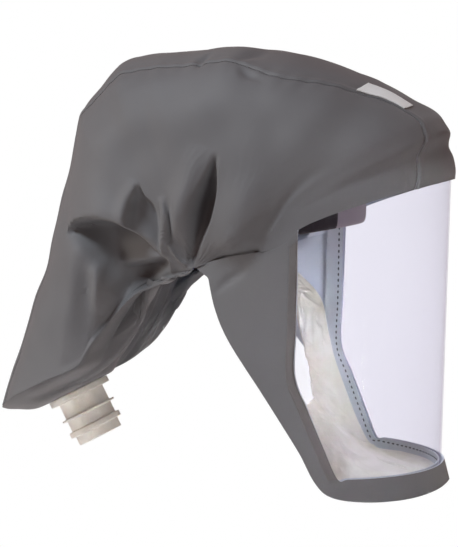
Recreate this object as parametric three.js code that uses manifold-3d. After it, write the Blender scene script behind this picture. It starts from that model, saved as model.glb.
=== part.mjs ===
// Powered air respirator hood: cloth hood, clear visor, face seal, head band and hose connector, as worn.
// Millimetres. x runs to the wearer's left, y to the back, z up. The origin is the centre of the head band.
// In the tables, f is the distance forward (minus y), l the distance to the left and z the height.
import * as THREE from "three";
import { mergeVertices } from "three/addons/utils/BufferGeometryUtils.js";
import Module from "manifold-3d";

// Wall thicknesses and gaps
const CLOTH = 1.4;
const TRIM = 1.0;
const SEAM_GAP = 0.4;

// The gather below the ear, where the cloth of each side is drawn together to a short flat loop
const GATHER_F = -4;
const GATHER_Z = -24;
const GATHER_L = 78;
const GATHER_LONG = 9;
const GATHER_HIGH = 3;

// Hood sections, from the brow over the crown to the tip of the air duct, each from the gather to the crown.
// crownF, crownZ: end on the crown line. girth: share of the reach where the section is widest.
// wide: half width there. seam: half width at the crown seam. square: superellipse power. lift: upward bow.
const SECTIONS = [
  { crownF: 158.3, crownZ: 34, girth: 0.445, wide: 88, seam: 54, square: 2.0, lift: 6 },
  { crownF: 157.8, crownZ: 45, girth: 0.46, wide: 88.5, seam: 52, square: 2.0, lift: 5 },
  { crownF: 153, crownZ: 55, girth: 0.47, wide: 89, seam: 48, square: 2.0, lift: 4 },
  { crownF: 152.5, crownZ: 63, girth: 0.48, wide: 89.5, seam: 44, square: 2.05, lift: 3 },
  { crownF: 141, crownZ: 79, girth: 0.5, wide: 92, seam: 42, square: 2.15, lift: 2 },
  { crownF: 119, crownZ: 92, girth: 0.53, wide: 94, seam: 48, square: 2.3, lift: 1 },
  { crownF: 95, crownZ: 104, girth: 0.55, wide: 96, seam: 64, square: 2.5, lift: 0 },
  { crownF: 60, crownZ: 115.5, girth: 0.56, wide: 97, seam: 77, square: 2.7, lift: 0 },
  { crownF: 22, crownZ: 123, girth: 0.56, wide: 98, seam: 74, square: 2.8, lift: 0 },
  { crownF: -20, crownZ: 122, girth: 0.56, wide: 97, seam: 71, square: 2.6, lift: 0 },
  { crownF: -60, crownZ: 117.5, girth: 0.56, wide: 93, seam: 64, square: 2.3, lift: 0 },
  { crownF: -74, crownZ: 110.5, girth: 0.56, wide: 91, seam: 60, square: 2.2, lift: 0 },
  { crownF: -98.5, crownZ: 83, girth: 0.56, wide: 88, seam: 50, square: 2.15, lift: 0 },
  { crownF: -102.5, crownZ: 58, girth: 0.56, wide: 86, seam: 46, square: 2.15, lift: 0 },
  { crownF: -108.5, crownZ: 29, girth: 0.56, wide: 84, seam: 44, square: 2.15, lift: 0 },
  { crownF: -118, crownZ: -5, girth: 0.56, wide: 82, seam: 44, square: 2.2, lift: 0 },
  { crownF: -130, crownZ: -38, girth: 0.56, wide: 78, seam: 43, square: 2.2, lift: 0 },
  { crownF: -143, crownZ: -68, girth: 0.56, wide: 74, seam: 42, square: 2.2, lift: 0 },
  { crownF: -154, crownZ: -97, girth: 0.56, wide: 70, seam: 40, square: 2.2, lift: -2 },
  { crownF: -164, crownZ: -127, girth: 0.56, wide: 66, seam: 38, square: 2.2, lift: -5 },
];
const BROW_SECTIONS = 6;
const BROW_STEPS = 2;
const BACK_STEPS = 3;
const FLAT_STEPS = 6;
const TURN_STEPS = 4;
const CROWN_STEPS = 3;

// Folds of a side panel, as lines from the gather. near, far: bearings in degrees at the ends of the line,
// from forward over the top. from, to: distances from the gather. depth: inward. front, back: half widths.
const FOLDS = [
  { near: 79, far: 73, from: 8, to: 96, depth: 9, front: 5, back: 9 },
  { near: 58, far: 65, from: 12, to: 100, depth: -3, front: 9, back: 7 },
  { near: 150, far: 122, from: 18, to: 72, depth: 8, front: 5, back: 8 },
  { near: 150, far: 112, from: 20, to: 52, depth: -2.5, front: 4, back: 4 },
  { near: 164, far: 167, from: 22, to: 98, depth: 11, front: 6, back: 12 },
  { near: 148, far: 157, from: 30, to: 96, depth: -4, front: 8, back: 6 },
  { near: 188, far: 199, from: 14, to: 84, depth: 8, front: 7, back: 7 },
  { near: 179, far: 186, from: 46, to: 98, depth: -4, front: 8, back: 6 },
  { near: 30, far: 42, from: 40, to: 112, depth: 2.5, front: 8, back: 8 },
];

// Visor cylinder: half ellipse in plan, leaning forward at the top
const VISOR_F = 64;
const VISOR_LONG = 88;
const VISOR_WIDE = 83.5;
const VISOR_THICK = 1;
const LEAN = Math.tan((1.4 * Math.PI) / 180);
const LEAN_Z = -60;
const VISOR_BACK = 58;
const VISOR_TUCK = 9;
const VISOR_COLUMNS = 40;
const VISOR_ROWS = 3;
const VISOR_BOTTOM = [
  { f: 57.6, z: -95 },
  { f: 86, z: -166 },
  { f: 94, z: -171 },
  { f: 120, z: -171.5 },
  { f: 152, z: -171.5 },
];

// Chin panel, from the gather down the cheek and under the visor: the edge along the visor and the lower hem.
// flare: how far the hem stands out
const CHIN_OUT = 2.4;
const CHIN = [
  { edgeF: 66.5, edgeZ: 6, hemF: 4.5, hemZ: -26, flare: 0 },
  { edgeF: 66.2, edgeZ: -30, hemF: 10.5, hemZ: -50, flare: 0 },
  { edgeF: 65.8, edgeZ: -60, hemF: 20.5, hemZ: -71, flare: 0 },
  { edgeF: 65, edgeZ: -92, hemF: 42, hemZ: -102, flare: 0 },
  { edgeF: 73, edgeZ: -113, hemF: 55, hemZ: -121, flare: 0 },
  { edgeF: 83, edgeZ: -138, hemF: 68, hemZ: -141, flare: 0 },
  { edgeF: 93, edgeZ: -162, hemF: 78, hemZ: -161, flare: 0 },
  { edgeF: 98.5, edgeZ: -162.5, hemF: 88, hemZ: -171.5, flare: 0.5 },
  { edgeF: 113, edgeZ: -163, hemF: 107, hemZ: -175.5, flare: 1 },
  { edgeF: 131, edgeZ: -164, hemF: 130, hemZ: -174.5, flare: 2 },
  { edgeF: 146, edgeZ: -165, hemF: 147, hemZ: -174, flare: 3 },
  { edgeF: 152.5, edgeZ: -165, hemF: 153.5, hemZ: -172.5, flare: 3.5 },
];
const CHIN_STEPS = 2;
const CHIN_ROWS = 4;

// Strip along the side edges of the visor, and the tape behind them
const BINDING_WIDTH = 6;
const BINDING_FROM = 0.25;
const BINDING_TO = 6;
const TAPE_FROM = 0.2;
const TAPE_WIDTH = 13;
const TAPE_FRONT = 5;
const TAPE_IN = -0.95;

// Face seal: where it is sewn in, and its free edge round the jaw
const SEAL_IN = -2.9;
const SEAL_SAG = 9;
const SEAL = [
  { sewnF: 31, sewnZ: -38, freeF: 29, freeL: 68, freeZ: -50 },
  { sewnF: 49, sewnZ: -57, freeF: 36, freeL: 59, freeZ: -68 },
  { sewnF: 55, sewnZ: -81, freeF: 42, freeL: 54, freeZ: -87 },
  { sewnF: 60, sewnZ: -102, freeF: 47, freeL: 50, freeZ: -104 },
  { sewnF: 69, sewnZ: -126, freeF: 51, freeL: 43, freeZ: -118 },
  { sewnF: 80, sewnZ: -151, freeF: 54, freeL: 34, freeZ: -124 },
  { sewnF: 92, sewnZ: -167, freeF: 56, freeL: 25, freeZ: -125 },
  { sewnF: 115, sewnZ: -168, freeF: 57.5, freeL: 16, freeZ: -124 },
  { sewnF: 137, sewnZ: -168, freeF: 58.5, freeL: 8, freeZ: -123 },
  { sewnF: 152, sewnZ: -168, freeF: 59, freeL: 0, freeZ: -122 },
];
const SEAL_STEPS = 2;
const SEAL_ROWS = 4;

// Underside of the air duct, from the duct's lower crease to the edge behind the neck
const FLOOR_BULGE = 27;
const CREASE_GAP = 0.5;
const GATHER_GAP = 1.2;
const NAPE_END_F = -8;
const NAPE_END_Z = -30;
const NAPE_MID_F = -62;
const NAPE_MID_Z = -42;
const FLOOR_COLUMNS = 36;
const FLOOR_ROWS = 7;
const FLOOR_FLAT = 26;
const FLOOR_BLEND = 46;

// Hose connector: top of its flange on the mid plane, direction of its axis, and its profile along that axis
const CONNECTOR_F = -112.5;
const CONNECTOR_Z = -120.5;
const CONNECTOR_TILT = 27.5;
const CONNECTOR_HOLE = 17.9;
const DRILL_LONG = 40;
const CONNECTOR_SEGMENTS = 26;
const CONNECTOR_BORE = 14;
const CONNECTOR = [
  { radius: 17.2, along: -7 },
  { radius: 17.2, along: 0 },
  { radius: 23, along: 0 },
  { radius: 23, along: 4.4 },
  { radius: 17.2, along: 4.4 },
  { radius: 17.2, along: 16 },
  { radius: 20.4, along: 16 },
  { radius: 20.4, along: 17.5 },
  { radius: 17.2, along: 17.5 },
  { radius: 17.2, along: 26 },
  { radius: 19.7, along: 26 },
  { radius: 19.7, along: 30 },
  { radius: 16.5, along: 30 },
  { radius: 16.5, along: 37 },
];

// Head band: an oval loop, thicker at the forehead, tilted up at the front, and a tab to each side panel
const BAND_LONG = 92;
const BAND_WIDE = 75;
const BAND_HIGH = 24;
const BAND_THICK = 4;
const BAND_PAD = 3.5;
const BAND_TILT = Math.tan((9 * Math.PI) / 180);
const BAND_SEGMENTS = 48;
const TAB_F = 33;
const TAB_Z = 7;
const TAB_WIDE = 20;
const TAB_THICK = 2;

// Label: a blank patch on the right of the crown, by section and by share of the half width from the seam
const LABEL_FROM = 4.5;
const LABEL_TO = 5.72;
const LABEL_SEAM = 0.03;
const LABEL_TOP = 0.4;
const LABEL_THICK = 1;

const FINE = 48;

// A point from its distances forward, to the left and up
function point(f, l, z) {
  return new THREE.Vector3(l, -f, z);
}

// A smooth curve through the rows of a table, at position t counted in rows
function between(table, t) {
  const last = table.length - 1;
  const i = Math.min(Math.max(Math.floor(t), 0), last - 1);
  const k = t - i;
  const before = table[Math.max(i - 1, 0)];
  const start = table[i];
  const end = table[i + 1];
  const after = table[Math.min(i + 2, last)];
  const row = {};
  for (const key of Object.keys(start)) {
    const a = 2 * start[key];
    const b = end[key] - before[key];
    const c = 2 * before[key] - 5 * start[key] + 4 * end[key] - after[key];
    const d = 3 * start[key] - before[key] - 3 * end[key] + after[key];
    row[key] = 0.5 * (a + b * k + c * k * k + d * k * k * k);
  }
  return row;
}

// A value read from a table of straight pieces; keys rise or fall steadily
function lookup(keys, values, key) {
  const rising = keys[keys.length - 1] > keys[0];
  for (let i = 0; i < keys.length - 1; i += 1) {
    const inside = rising ? key <= keys[i + 1] : key >= keys[i + 1];
    if (inside || i === keys.length - 2) {
      const k = Math.min(Math.max((key - keys[i]) / (keys[i + 1] - keys[i]), 0), 1);
      return values[i] + (values[i + 1] - values[i]) * k;
    }
  }
  return values[0];
}

function smooth(low, high, value) {
  const k = Math.min(Math.max((value - low) / (high - low), 0), 1);
  return k * k * (3 - 2 * k);
}

// Evenly spaced points of a two-column line, leaving out a length at each end
function spaced(line, steps, skipStart, skipEnd) {
  const run = [0];
  for (let i = 1; i < line.length; i += 1) {
    const dx = line[i][0] - line[i - 1][0];
    const dy = line[i][1] - line[i - 1][1];
    run.push(run[i - 1] + Math.hypot(dx, dy));
  }
  const first = skipStart;
  const length = run[run.length - 1] - skipStart - skipEnd;
  const out = [];
  for (let j = 0; j <= steps; j += 1) {
    const at = first + (length * j) / steps;
    out.push([lookup(run, line.map((p) => p[0]), at), lookup(run, line.map((p) => p[1]), at)]);
  }
  return out;
}

// One hood section: its direction from the gather, and its three parts as distance and half width
function section(u) {
  const row = between(SECTIONS, u);
  const df = row.crownF - GATHER_F;
  const dz = row.crownZ - GATHER_Z;
  const reach = Math.hypot(df, dz);
  const girth = row.girth * reach;
  const power = 2 / row.square;
  const seamTurn = Math.acos((row.seam / row.wide) ** (row.square / 2));
  const arc = (turn) => [
    girth + (reach - girth) * Math.sin(turn) ** power,
    row.wide * Math.max(Math.cos(turn), 0) ** power,
  ];
  const start = 1 / Math.hypot(df / reach / GATHER_LONG, dz / reach / GATHER_HIGH);
  const flat = [];
  const turn = [];
  const crown = [];
  for (let i = 0; i <= FINE; i += 1) {
    const k = i / FINE;
    const widen = Math.sin((Math.PI / 2) * k);
    flat.push([start + (girth - start) * k, GATHER_L + (row.wide - GATHER_L) * widen]);
    turn.push(arc(seamTurn * k));
    crown.push(arc(seamTurn + (Math.PI / 2 - seamTurn) * k));
  }
  crown[FINE][1] = 0;
  return { df: df / reach, dz: dz / reach, reach, lift: row.lift, flat, turn, crown };
}

// How far the folds draw a side panel inward
function foldDepth(f, z) {
  const away = Math.hypot(f - GATHER_F, z - GATHER_Z);
  let bearing = (Math.atan2(z - GATHER_Z, f - GATHER_F) * 180) / Math.PI;
  if (bearing < -60) {
    bearing += 360;
  }
  let depth = 0;
  for (const fold of FOLDS) {
    const k = (away - fold.from) / (fold.to - fold.from);
    if (k <= 0 || k >= 1) {
      continue;
    }
    const line = fold.near + (fold.far - fold.near) * k;
    const across = (away * (bearing - line) * Math.PI) / 180;
    const width = across > 0 ? fold.back : fold.front;
    depth += fold.depth * Math.sin(Math.PI * k) ** 0.7 * Math.exp(-((across / width) ** 2));
  }
  return depth;
}

// A point of a hood section, on the left when side is 1
function hoodPoint(cut, away, wide, side, folded) {
  const bow = cut.lift * Math.sin((Math.PI * away) / cut.reach);
  const f = GATHER_F + cut.df * away - cut.dz * bow;
  const z = GATHER_Z + cut.dz * away + cut.df * bow;
  const l = folded ? wide - foldDepth(f, z) : wide;
  return point(f, side * l, z);
}

// Positions of the sections to build, closer together behind the brow
function sectionStations() {
  const stations = [];
  for (let i = 0; i < SECTIONS.length - 1; i += 1) {
    const steps = i < BROW_SECTIONS ? BROW_STEPS : BACK_STEPS;
    for (let j = 0; j < steps; j += 1) {
      stations.push(i + j / steps);
    }
  }
  stations.push(SECTIONS.length - 1);
  return stations;
}

// The triangles of a grid of points, seen from outside
function gridFaces(rows, columns, flip) {
  const faces = [];
  for (let i = 0; i < rows - 1; i += 1) {
    for (let j = 0; j < columns - 1; j += 1) {
      const a = i * columns + j;
      const b = a + columns;
      const c = b + 1;
      const d = a + 1;
      if (flip) {
        faces.push([a, c, b], [a, d, c]);
      } else {
        faces.push([a, b, c], [a, c, d]);
      }
    }
  }
  return faces;
}

// Outward directions at the points of a grid
function gridNormals(grid, flip) {
  const points = grid.flat();
  const normals = points.map(() => new THREE.Vector3());
  const ab = new THREE.Vector3();
  const ac = new THREE.Vector3();
  for (const [a, b, c] of gridFaces(grid.length, grid[0].length, flip)) {
    ab.subVectors(points[b], points[a]);
    ac.subVectors(points[c], points[a]);
    ab.cross(ac);
    normals[a].add(ab);
    normals[b].add(ab);
    normals[c].add(ab);
  }
  normals.forEach((normal) => normal.normalize());
  return grid.map((row, i) => row.map((_, j) => normals[i * row.length + j]));
}

// A grid turned into a closed wall. The grid is the outer face, moved outward by raise; the wall is inside.
function wall(grid, thick, flip, raise = 0, normals = gridNormals(grid, flip)) {
  const faces = gridFaces(grid.length, grid[0].length, flip);
  const along = normals.flat();
  const outer = grid.flat().map((p, i) => p.clone().addScaledVector(along[i], raise));
  const inner = grid.flat().map((p, i) => p.clone().addScaledVector(along[i], raise - thick));
  const count = outer.length;
  const all = faces.concat(faces.map(([a, b, c]) => [a + count, c + count, b + count]));
  const used = new Set();
  for (const [a, b, c] of faces) {
    used.add(`${a} ${b}`).add(`${b} ${c}`).add(`${c} ${a}`);
  }
  for (const face of faces) {
    for (let i = 0; i < 3; i += 1) {
      const p = face[i];
      const q = face[(i + 1) % 3];
      if (!used.has(`${q} ${p}`)) {
        all.push([q, p, p + count], [q, p + count, q + count]);
      }
    }
  }
  return geometryOf(outer.concat(inner), all);
}

function geometryOf(points, faces) {
  const geometry = new THREE.BufferGeometry();
  geometry.setAttribute("position", new THREE.Float32BufferAttribute(points.flatMap((p) => p.toArray()), 3));
  geometry.setIndex(faces.flat());
  geometry.computeVertexNormals();
  return geometry;
}

// The same geometry on the other side of the mid plane
function mirrored(geometry) {
  const copy = geometry.clone();
  const position = copy.getAttribute("position");
  for (let i = 0; i < position.count; i += 1) {
    position.setX(i, -position.getX(i));
  }
  const index = Array.from(copy.getIndex().array);
  for (let i = 0; i < index.length; i += 3) {
    [index[i + 1], index[i + 2]] = [index[i + 2], index[i + 1]];
  }
  copy.setIndex(index);
  copy.computeVertexNormals();
  return copy;
}

// Plan curve of the visor and cheeks: arc length from the front, with the distance forward and to the left
const PLAN = { arc: [0], f: [VISOR_F + VISOR_LONG], l: [0] };
for (let i = 1; i <= 160; i += 1) {
  const turn = (Math.PI / 2) * Math.min(i / 100, 1);
  const k = Math.max(i - 100, 0) / 60;
  const front = i <= 100;
  const f = front ? VISOR_F + VISOR_LONG * Math.cos(turn) : VISOR_F + (GATHER_F - 8 - VISOR_F) * k;
  const behind = GATHER_L - CHIN_OUT + (VISOR_WIDE - GATHER_L + CHIN_OUT) * Math.cos((Math.PI / 2) * k);
  const l = front ? VISOR_WIDE * Math.sin(turn) : behind;
  PLAN.arc.push(PLAN.arc[i - 1] + Math.hypot(f - PLAN.f[i - 1], l - PLAN.l[i - 1]));
  PLAN.f.push(f);
  PLAN.l.push(l);
}

// Arc length from the front at a given distance forward and height
function arcAt(f, z) {
  return lookup(PLAN.f, PLAN.arc, f - LEAN * (z - LEAN_Z));
}

// A point of the visor cylinder at a signed arc length, moved outward
function onPlan(arc, z, out) {
  const side = arc < 0 ? -1 : 1;
  const a = Math.abs(arc);
  const low = Math.max(a - 0.6, 0);
  const df = lookup(PLAN.arc, PLAN.f, a + 0.6) - lookup(PLAN.arc, PLAN.f, low);
  const dl = lookup(PLAN.arc, PLAN.l, a + 0.6) - lookup(PLAN.arc, PLAN.l, low);
  const size = a < 0.6 ? 1 : Math.hypot(df, dl);
  const outF = a < 0.6 ? 1 : dl / size;
  const outL = a < 0.6 ? 0 : -df / size;
  const f = lookup(PLAN.arc, PLAN.f, a) + outF * out + LEAN * (z - LEAN_Z);
  return point(f, side * (lookup(PLAN.arc, PLAN.l, a) + outL * out), z);
}

// Hood panels, cut at the crown seams from one grid that runs from the left gather to the right one
function crownHalf(cut, side, steps) {
  const line = spaced(cut.crown, steps, SEAM_GAP / 2, 0);
  return line.map(([away, wide]) => hoodPoint(cut, away, wide, side, false));
}

function sideHalf(cut, side) {
  const flat = spaced(cut.flat, FLAT_STEPS, 0, 0);
  const turn = spaced(cut.turn, TURN_STEPS, 0, SEAM_GAP / 2);
  return flat.concat(turn.slice(1)).map(([away, wide]) => hoodPoint(cut, away, wide, side, true));
}

const hoodGrid = sectionStations().map((u) => {
  const cut = section(u);
  const left = sideHalf(cut, 1).concat(crownHalf(cut, 1, CROWN_STEPS));
  const right = sideHalf(cut, -1).concat(crownHalf(cut, -1, CROWN_STEPS));
  return left.concat(right.reverse().slice(1));
});
const hoodNormals = gridNormals(hoodGrid, false);
const SIDE_COLUMNS = FLAT_STEPS + TURN_STEPS + 1;

// Both edges of a crown seam take one direction, so that the gap between them is the same on both faces
for (const row of hoodNormals) {
  for (const edge of [SIDE_COLUMNS - 1, row.length - SIDE_COLUMNS - 1]) {
    const shared = row[edge].clone().add(row[edge + 1]).normalize();
    row[edge] = shared;
    row[edge + 1] = shared;
  }
}

// The lower edge of the duct lies in the plane of its last section, and below is the way out of that plane
const lastCut = section(SECTIONS.length - 1);
const below = point(-lastCut.dz, 0, lastCut.df);
for (const normal of hoodNormals[hoodNormals.length - 1]) {
  normal.addScaledVector(below, -normal.dot(below)).normalize();
}

function hoodPanel(first, last) {
  const points = hoodGrid.map((row) => row.slice(first, last));
  const normals = hoodNormals.map((row) => row.slice(first, last));
  return wall(points, CLOTH, false, 0, normals);
}

function sidePanel() {
  return hoodPanel(0, SIDE_COLUMNS);
}

function crownPanel() {
  return hoodPanel(SIDE_COLUMNS, SIDE_COLUMNS + 2 * CROWN_STEPS + 1);
}

// The lower edge of the left side panel, a gap lower: share 0 at the visor's corner, 1 at the gather
const browCut = section(0);
const browAway = browCut.flat.map((p) => p[0]);
const browWide = browCut.flat.map((p) => p[1]);

function cheekSeam(share) {
  const away = browAway[FINE] + (browAway[0] - browAway[FINE]) * share;
  const edge = hoodPoint(browCut, away, lookup(browAway, browWide, away), 1, false);
  edge.z -= SEAM_GAP + 0.1;
  return edge;
}

// Chin panel table with arc lengths in place of distances forward
const CHIN_ARCS = CHIN.map((row, i) => ({
  edge: i === CHIN.length - 1 ? 0 : arcAt(row.edgeF, row.edgeZ),
  edgeZ: row.edgeZ,
  hem: i === CHIN.length - 1 ? 0 : arcAt(row.hemF, row.hemZ),
  hemZ: row.hemZ,
  flare: row.flare,
}));

// A point of the chin panel on the left: position along its table, share of the way from visor edge to hem
function chinPoint(t, share, out, flared = 1) {
  const row = between(CHIN_ARCS, t);
  const arc = Math.max(row.edge + (row.hem - row.edge) * share, 0);
  return onPlan(arc, row.edgeZ + (row.hemZ - row.edgeZ) * share, out + flared * row.flare * share);
}

// The outer face of the chin panel, drawn to the side panel's edge at its upper end
function chinSurface(t, share, raise) {
  const shift = cheekSeam(share).sub(chinPoint(0, share, CHIN_OUT));
  return chinPoint(t, share, CHIN_OUT + raise).addScaledVector(shift, 1 - smooth(0, 2, t));
}

// Both halves of a strip that crosses the mid plane, from its left half
function withMirror(half) {
  const other = half.slice(0, -1).map((row) => row.map((p) => new THREE.Vector3(-p.x, p.y, p.z)));
  return half.concat(other.reverse());
}

function chinPanel() {
  const steps = (CHIN.length - 1) * CHIN_STEPS;
  const half = [];
  for (let i = 0; i <= steps; i += 1) {
    const row = [];
    for (let j = 0; j <= CHIN_ROWS; j += 1) {
      row.push(chinSurface(i / CHIN_STEPS, j / CHIN_ROWS, 0));
    }
    half.push(row);
  }
  return wall(withMirror(half), CLOTH, false);
}

function chinWidth(t) {
  return chinPoint(t, 0, 0).distanceTo(chinPoint(t, 1, 0));
}

// Visor, bindings and tape
function browHeights() {
  const cut = section(0);
  const upper = cut.turn.concat(cut.crown.slice(1));
  const line = upper.map(([away, wide]) => hoodPoint(cut, away, wide, 1, false));
  const arcs = line.map((p) => arcAt(-p.y - 3, p.z));
  arcs[arcs.length - 1] = 0;
  return { arcs, heights: line.map((p) => p.z) };
}

function visor() {
  const brow = browHeights();
  const furthest = arcAt(VISOR_BACK, LEAN_Z);
  const grid = [];
  for (let i = 0; i <= VISOR_COLUMNS; i += 1) {
    const arc = furthest * (1 - (2 * i) / VISOR_COLUMNS);
    const f = lookup(PLAN.arc, PLAN.f, Math.abs(arc));
    const low = lookup(VISOR_BOTTOM.map((row) => row.f), VISOR_BOTTOM.map((row) => row.z), f);
    const high = lookup(brow.arcs, brow.heights, Math.abs(arc)) + VISOR_TUCK;
    const column = [];
    for (let j = 0; j <= VISOR_ROWS; j += 1) {
      column.push(onPlan(arc, low + ((high - low) * j) / VISOR_ROWS, VISOR_THICK / 2));
    }
    grid.push(column);
  }
  return wall(grid, VISOR_THICK, true);
}

function binding() {
  const steps = 14;
  const raise = SEAM_GAP + TRIM;
  const grid = [];
  for (let i = 0; i <= steps; i += 1) {
    const t = BINDING_FROM + ((BINDING_TO - BINDING_FROM) * i) / steps;
    const share = BINDING_WIDTH / chinWidth(t);
    grid.push([chinSurface(t, 0, raise), chinSurface(t, share, raise)]);
  }
  return wall(grid, TRIM, false);
}

function tape() {
  const steps = 22;
  const last = CHIN.length - 1;
  const half = [];
  for (let i = 0; i <= steps; i += 1) {
    const t = TAPE_FROM + ((last - TAPE_FROM) * i) / steps;
    const wide = TAPE_WIDTH + (TAPE_FRONT - TAPE_WIDTH) * smooth(5, 8, t);
    const share = wide / chinWidth(t);
    half.push([chinPoint(t, 0, TAPE_IN, 0), chinPoint(t, share, TAPE_IN, 0)]);
  }
  return wall(withMirror(half), TRIM, false);
}

function faceSeal() {
  const steps = (SEAL.length - 1) * SEAL_STEPS;
  const half = [];
  for (let i = 0; i <= steps; i += 1) {
    const t = i / SEAL_STEPS;
    const row = between(SEAL, t);
    const arc = i === steps ? 0 : Math.max(arcAt(row.sewnF, row.sewnZ), 0);
    const sewn = onPlan(arc, row.sewnZ, SEAL_IN);
    const free = point(row.freeF, i === steps ? 0 : Math.max(row.freeL, 0), row.freeZ);
    const line = [];
    for (let j = 0; j <= SEAL_ROWS; j += 1) {
      const k = j / SEAL_ROWS;
      const p = sewn.clone().lerp(free, k);
      p.z -= SEAL_SAG * Math.sin(Math.PI * k) * smooth(2, 7, t);
      line.push(p);
    }
    half.push(line);
  }
  return wall(withMirror(half), TRIM, false);
}

// Underside of the duct. Its outer edge follows the last section; the cloth lies flat round the connector.
const tilt = (CONNECTOR_TILT * Math.PI) / 180;
const connectorAxis = point(Math.sin(tilt), 0, -Math.cos(tilt));
const connectorTop = point(CONNECTOR_F, 0, CONNECTOR_Z);
const connectorTurn = new THREE.Quaternion().setFromUnitVectors(new THREE.Vector3(0, 1, 0), connectorAxis);

function ductFloor() {
  const line = lastCut.flat.concat(lastCut.turn.slice(1), lastCut.crown.slice(1));
  const half = spaced(line, FLOOR_COLUMNS / 2, 0, 0);
  const flatAt = connectorTop.clone().addScaledVector(connectorAxis, -SEAM_GAP);
  const grid = [];
  for (let i = 0; i <= FLOOR_COLUMNS; i += 1) {
    const side = i <= FLOOR_COLUMNS / 2 ? 1 : -1;
    const fromEnd = side > 0 ? i : FLOOR_COLUMNS - i;
    const [away, wide] = half[fromEnd];
    const share = fromEnd / (FLOOR_COLUMNS / 2);
    const gap = CREASE_GAP + GATHER_GAP * (1 - smooth(0, 0.25, share));
    const start = hoodPoint(lastCut, away, wide, side, true).addScaledVector(below, gap);
    const turn = (Math.PI / 2) * (1 - share);
    const back = Math.cos(turn) ** 2;
    const napeF = NAPE_END_F + (NAPE_MID_F - NAPE_END_F) * back;
    const napeZ = NAPE_END_Z + (NAPE_MID_Z - NAPE_END_Z) * back;
    const end = point(napeF, side * GATHER_L * Math.sin(turn), napeZ);
    const bulge = FLOOR_BULGE * smooth(0.12, 0.62, share);
    const column = [];
    for (let j = 0; j <= FLOOR_ROWS; j += 1) {
      const k = j / FLOOR_ROWS;
      const p = start.clone().lerp(end, k);
      p.addScaledVector(below, bulge * Math.sin(Math.PI * k ** 0.8));
      const offset = p.clone().sub(flatAt);
      const height = offset.dot(connectorAxis);
      const aside = offset.addScaledVector(connectorAxis, -height).length();
      p.addScaledVector(connectorAxis, -height * (1 - smooth(FLOOR_FLAT, FLOOR_BLEND, aside)));
      column.push(p);
    }
    grid.push(column);
  }
  const normals = gridNormals(grid, true);
  normals.forEach((column, i) => {
    const fromEnd = Math.min(i, FLOOR_COLUMNS - i);
    const side = i <= FLOOR_COLUMNS / 2 ? 1 : -1;
    const before = half[Math.max(fromEnd - 1, 0)];
    const after = half[Math.min(fromEnd + 1, FLOOR_COLUMNS / 2)];
    const outAway = before[1] - after[1];
    const outWide = after[0] - before[0];
    const middle = fromEnd === FLOOR_COLUMNS / 2 ? 0 : side;
    column[0] = point(lastCut.df * outAway, middle * outWide, lastCut.dz * outAway).normalize();
  });
  return wall(grid, CLOTH, true, 0, normals);
}

// Head band, its tabs, the connector and the label
function headBand() {
  const bevel = 0.7;
  const outline = [
    [1, -bevel], [bevel, -1], [-bevel, -1], [-1, -bevel], [-1, bevel], [-bevel, 1], [bevel, 1], [1, bevel],
  ];
  const points = [];
  const faces = [];
  for (let i = 0; i < BAND_SEGMENTS; i += 1) {
    const turn = (2 * Math.PI * i) / BAND_SEGMENTS;
    const f = BAND_LONG * Math.cos(turn);
    const l = BAND_WIDE * Math.sin(turn);
    const out = point(Math.cos(turn) / BAND_LONG, Math.sin(turn) / BAND_WIDE, 0).normalize();
    const half = (BAND_THICK + BAND_PAD * smooth(0.2, 0.75, Math.cos(turn))) / 2;
    for (const [across, up] of outline) {
      const p = point(f, l, f * BAND_TILT + (up * BAND_HIGH) / 2);
      points.push(p.addScaledVector(out, across * half));
    }
  }
  const ring = outline.length;
  for (let i = 0; i < BAND_SEGMENTS; i += 1) {
    for (let j = 0; j < ring; j += 1) {
      const a = i * ring + j;
      const b = i * ring + ((j + 1) % ring);
      const c = ((i + 1) % BAND_SEGMENTS) * ring + ((j + 1) % ring);
      const d = ((i + 1) % BAND_SEGMENTS) * ring + j;
      faces.push([a, b, c], [a, c, d]);
    }
  }
  return geometryOf(points, faces);
}

// A tab from the band to the side panel on the left
function bandTab() {
  const grid = [];
  for (let i = 0; i <= 2; i += 1) {
    const f = TAB_F + TAB_WIDE * (i / 2 - 0.5);
    const bandL = (BAND_WIDE + BAND_THICK / 2) * Math.sqrt(1 - (f / (BAND_LONG + BAND_THICK / 2)) ** 2);
    const away = Math.hypot(f - GATHER_F, TAB_Z - GATHER_Z);
    const panelL = panelWidthAt(f, TAB_Z, away);
    grid.push([point(f, bandL + 1.6, TAB_Z), point(f, panelL - CLOTH - 2.2, TAB_Z)]);
  }
  return wall(grid, TAB_THICK, false);
}

// Half width of a side panel at a point of its flat part, found from the section that passes there
function panelWidthAt(f, z, away) {
  const bearing = Math.atan2(z - GATHER_Z, f - GATHER_F);
  let best = section(0);
  let error = Infinity;
  for (let u = 0; u < SECTIONS.length - 1; u += 0.05) {
    const cut = section(u);
    const off = Math.abs(Math.atan2(cut.dz, cut.df) - bearing);
    if (off < error) {
      error = off;
      best = cut;
    }
  }
  const wide = lookup(best.flat.map((p) => p[0]), best.flat.map((p) => p[1]), away);
  return wide - foldDepth(f, z);
}

// The connector stands on its own axis here; its mesh is turned and placed in the assembly
function connector() {
  const first = CONNECTOR[0].along;
  const last = CONNECTOR[CONNECTOR.length - 1].along;
  const profile = CONNECTOR.map((row) => new THREE.Vector2(row.radius, row.along));
  profile.unshift(new THREE.Vector2(CONNECTOR_BORE, first));
  profile.push(new THREE.Vector2(CONNECTOR_BORE, last));
  profile.push(new THREE.Vector2(CONNECTOR_BORE, first));
  return new THREE.LatheGeometry(profile, CONNECTOR_SEGMENTS);
}

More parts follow.
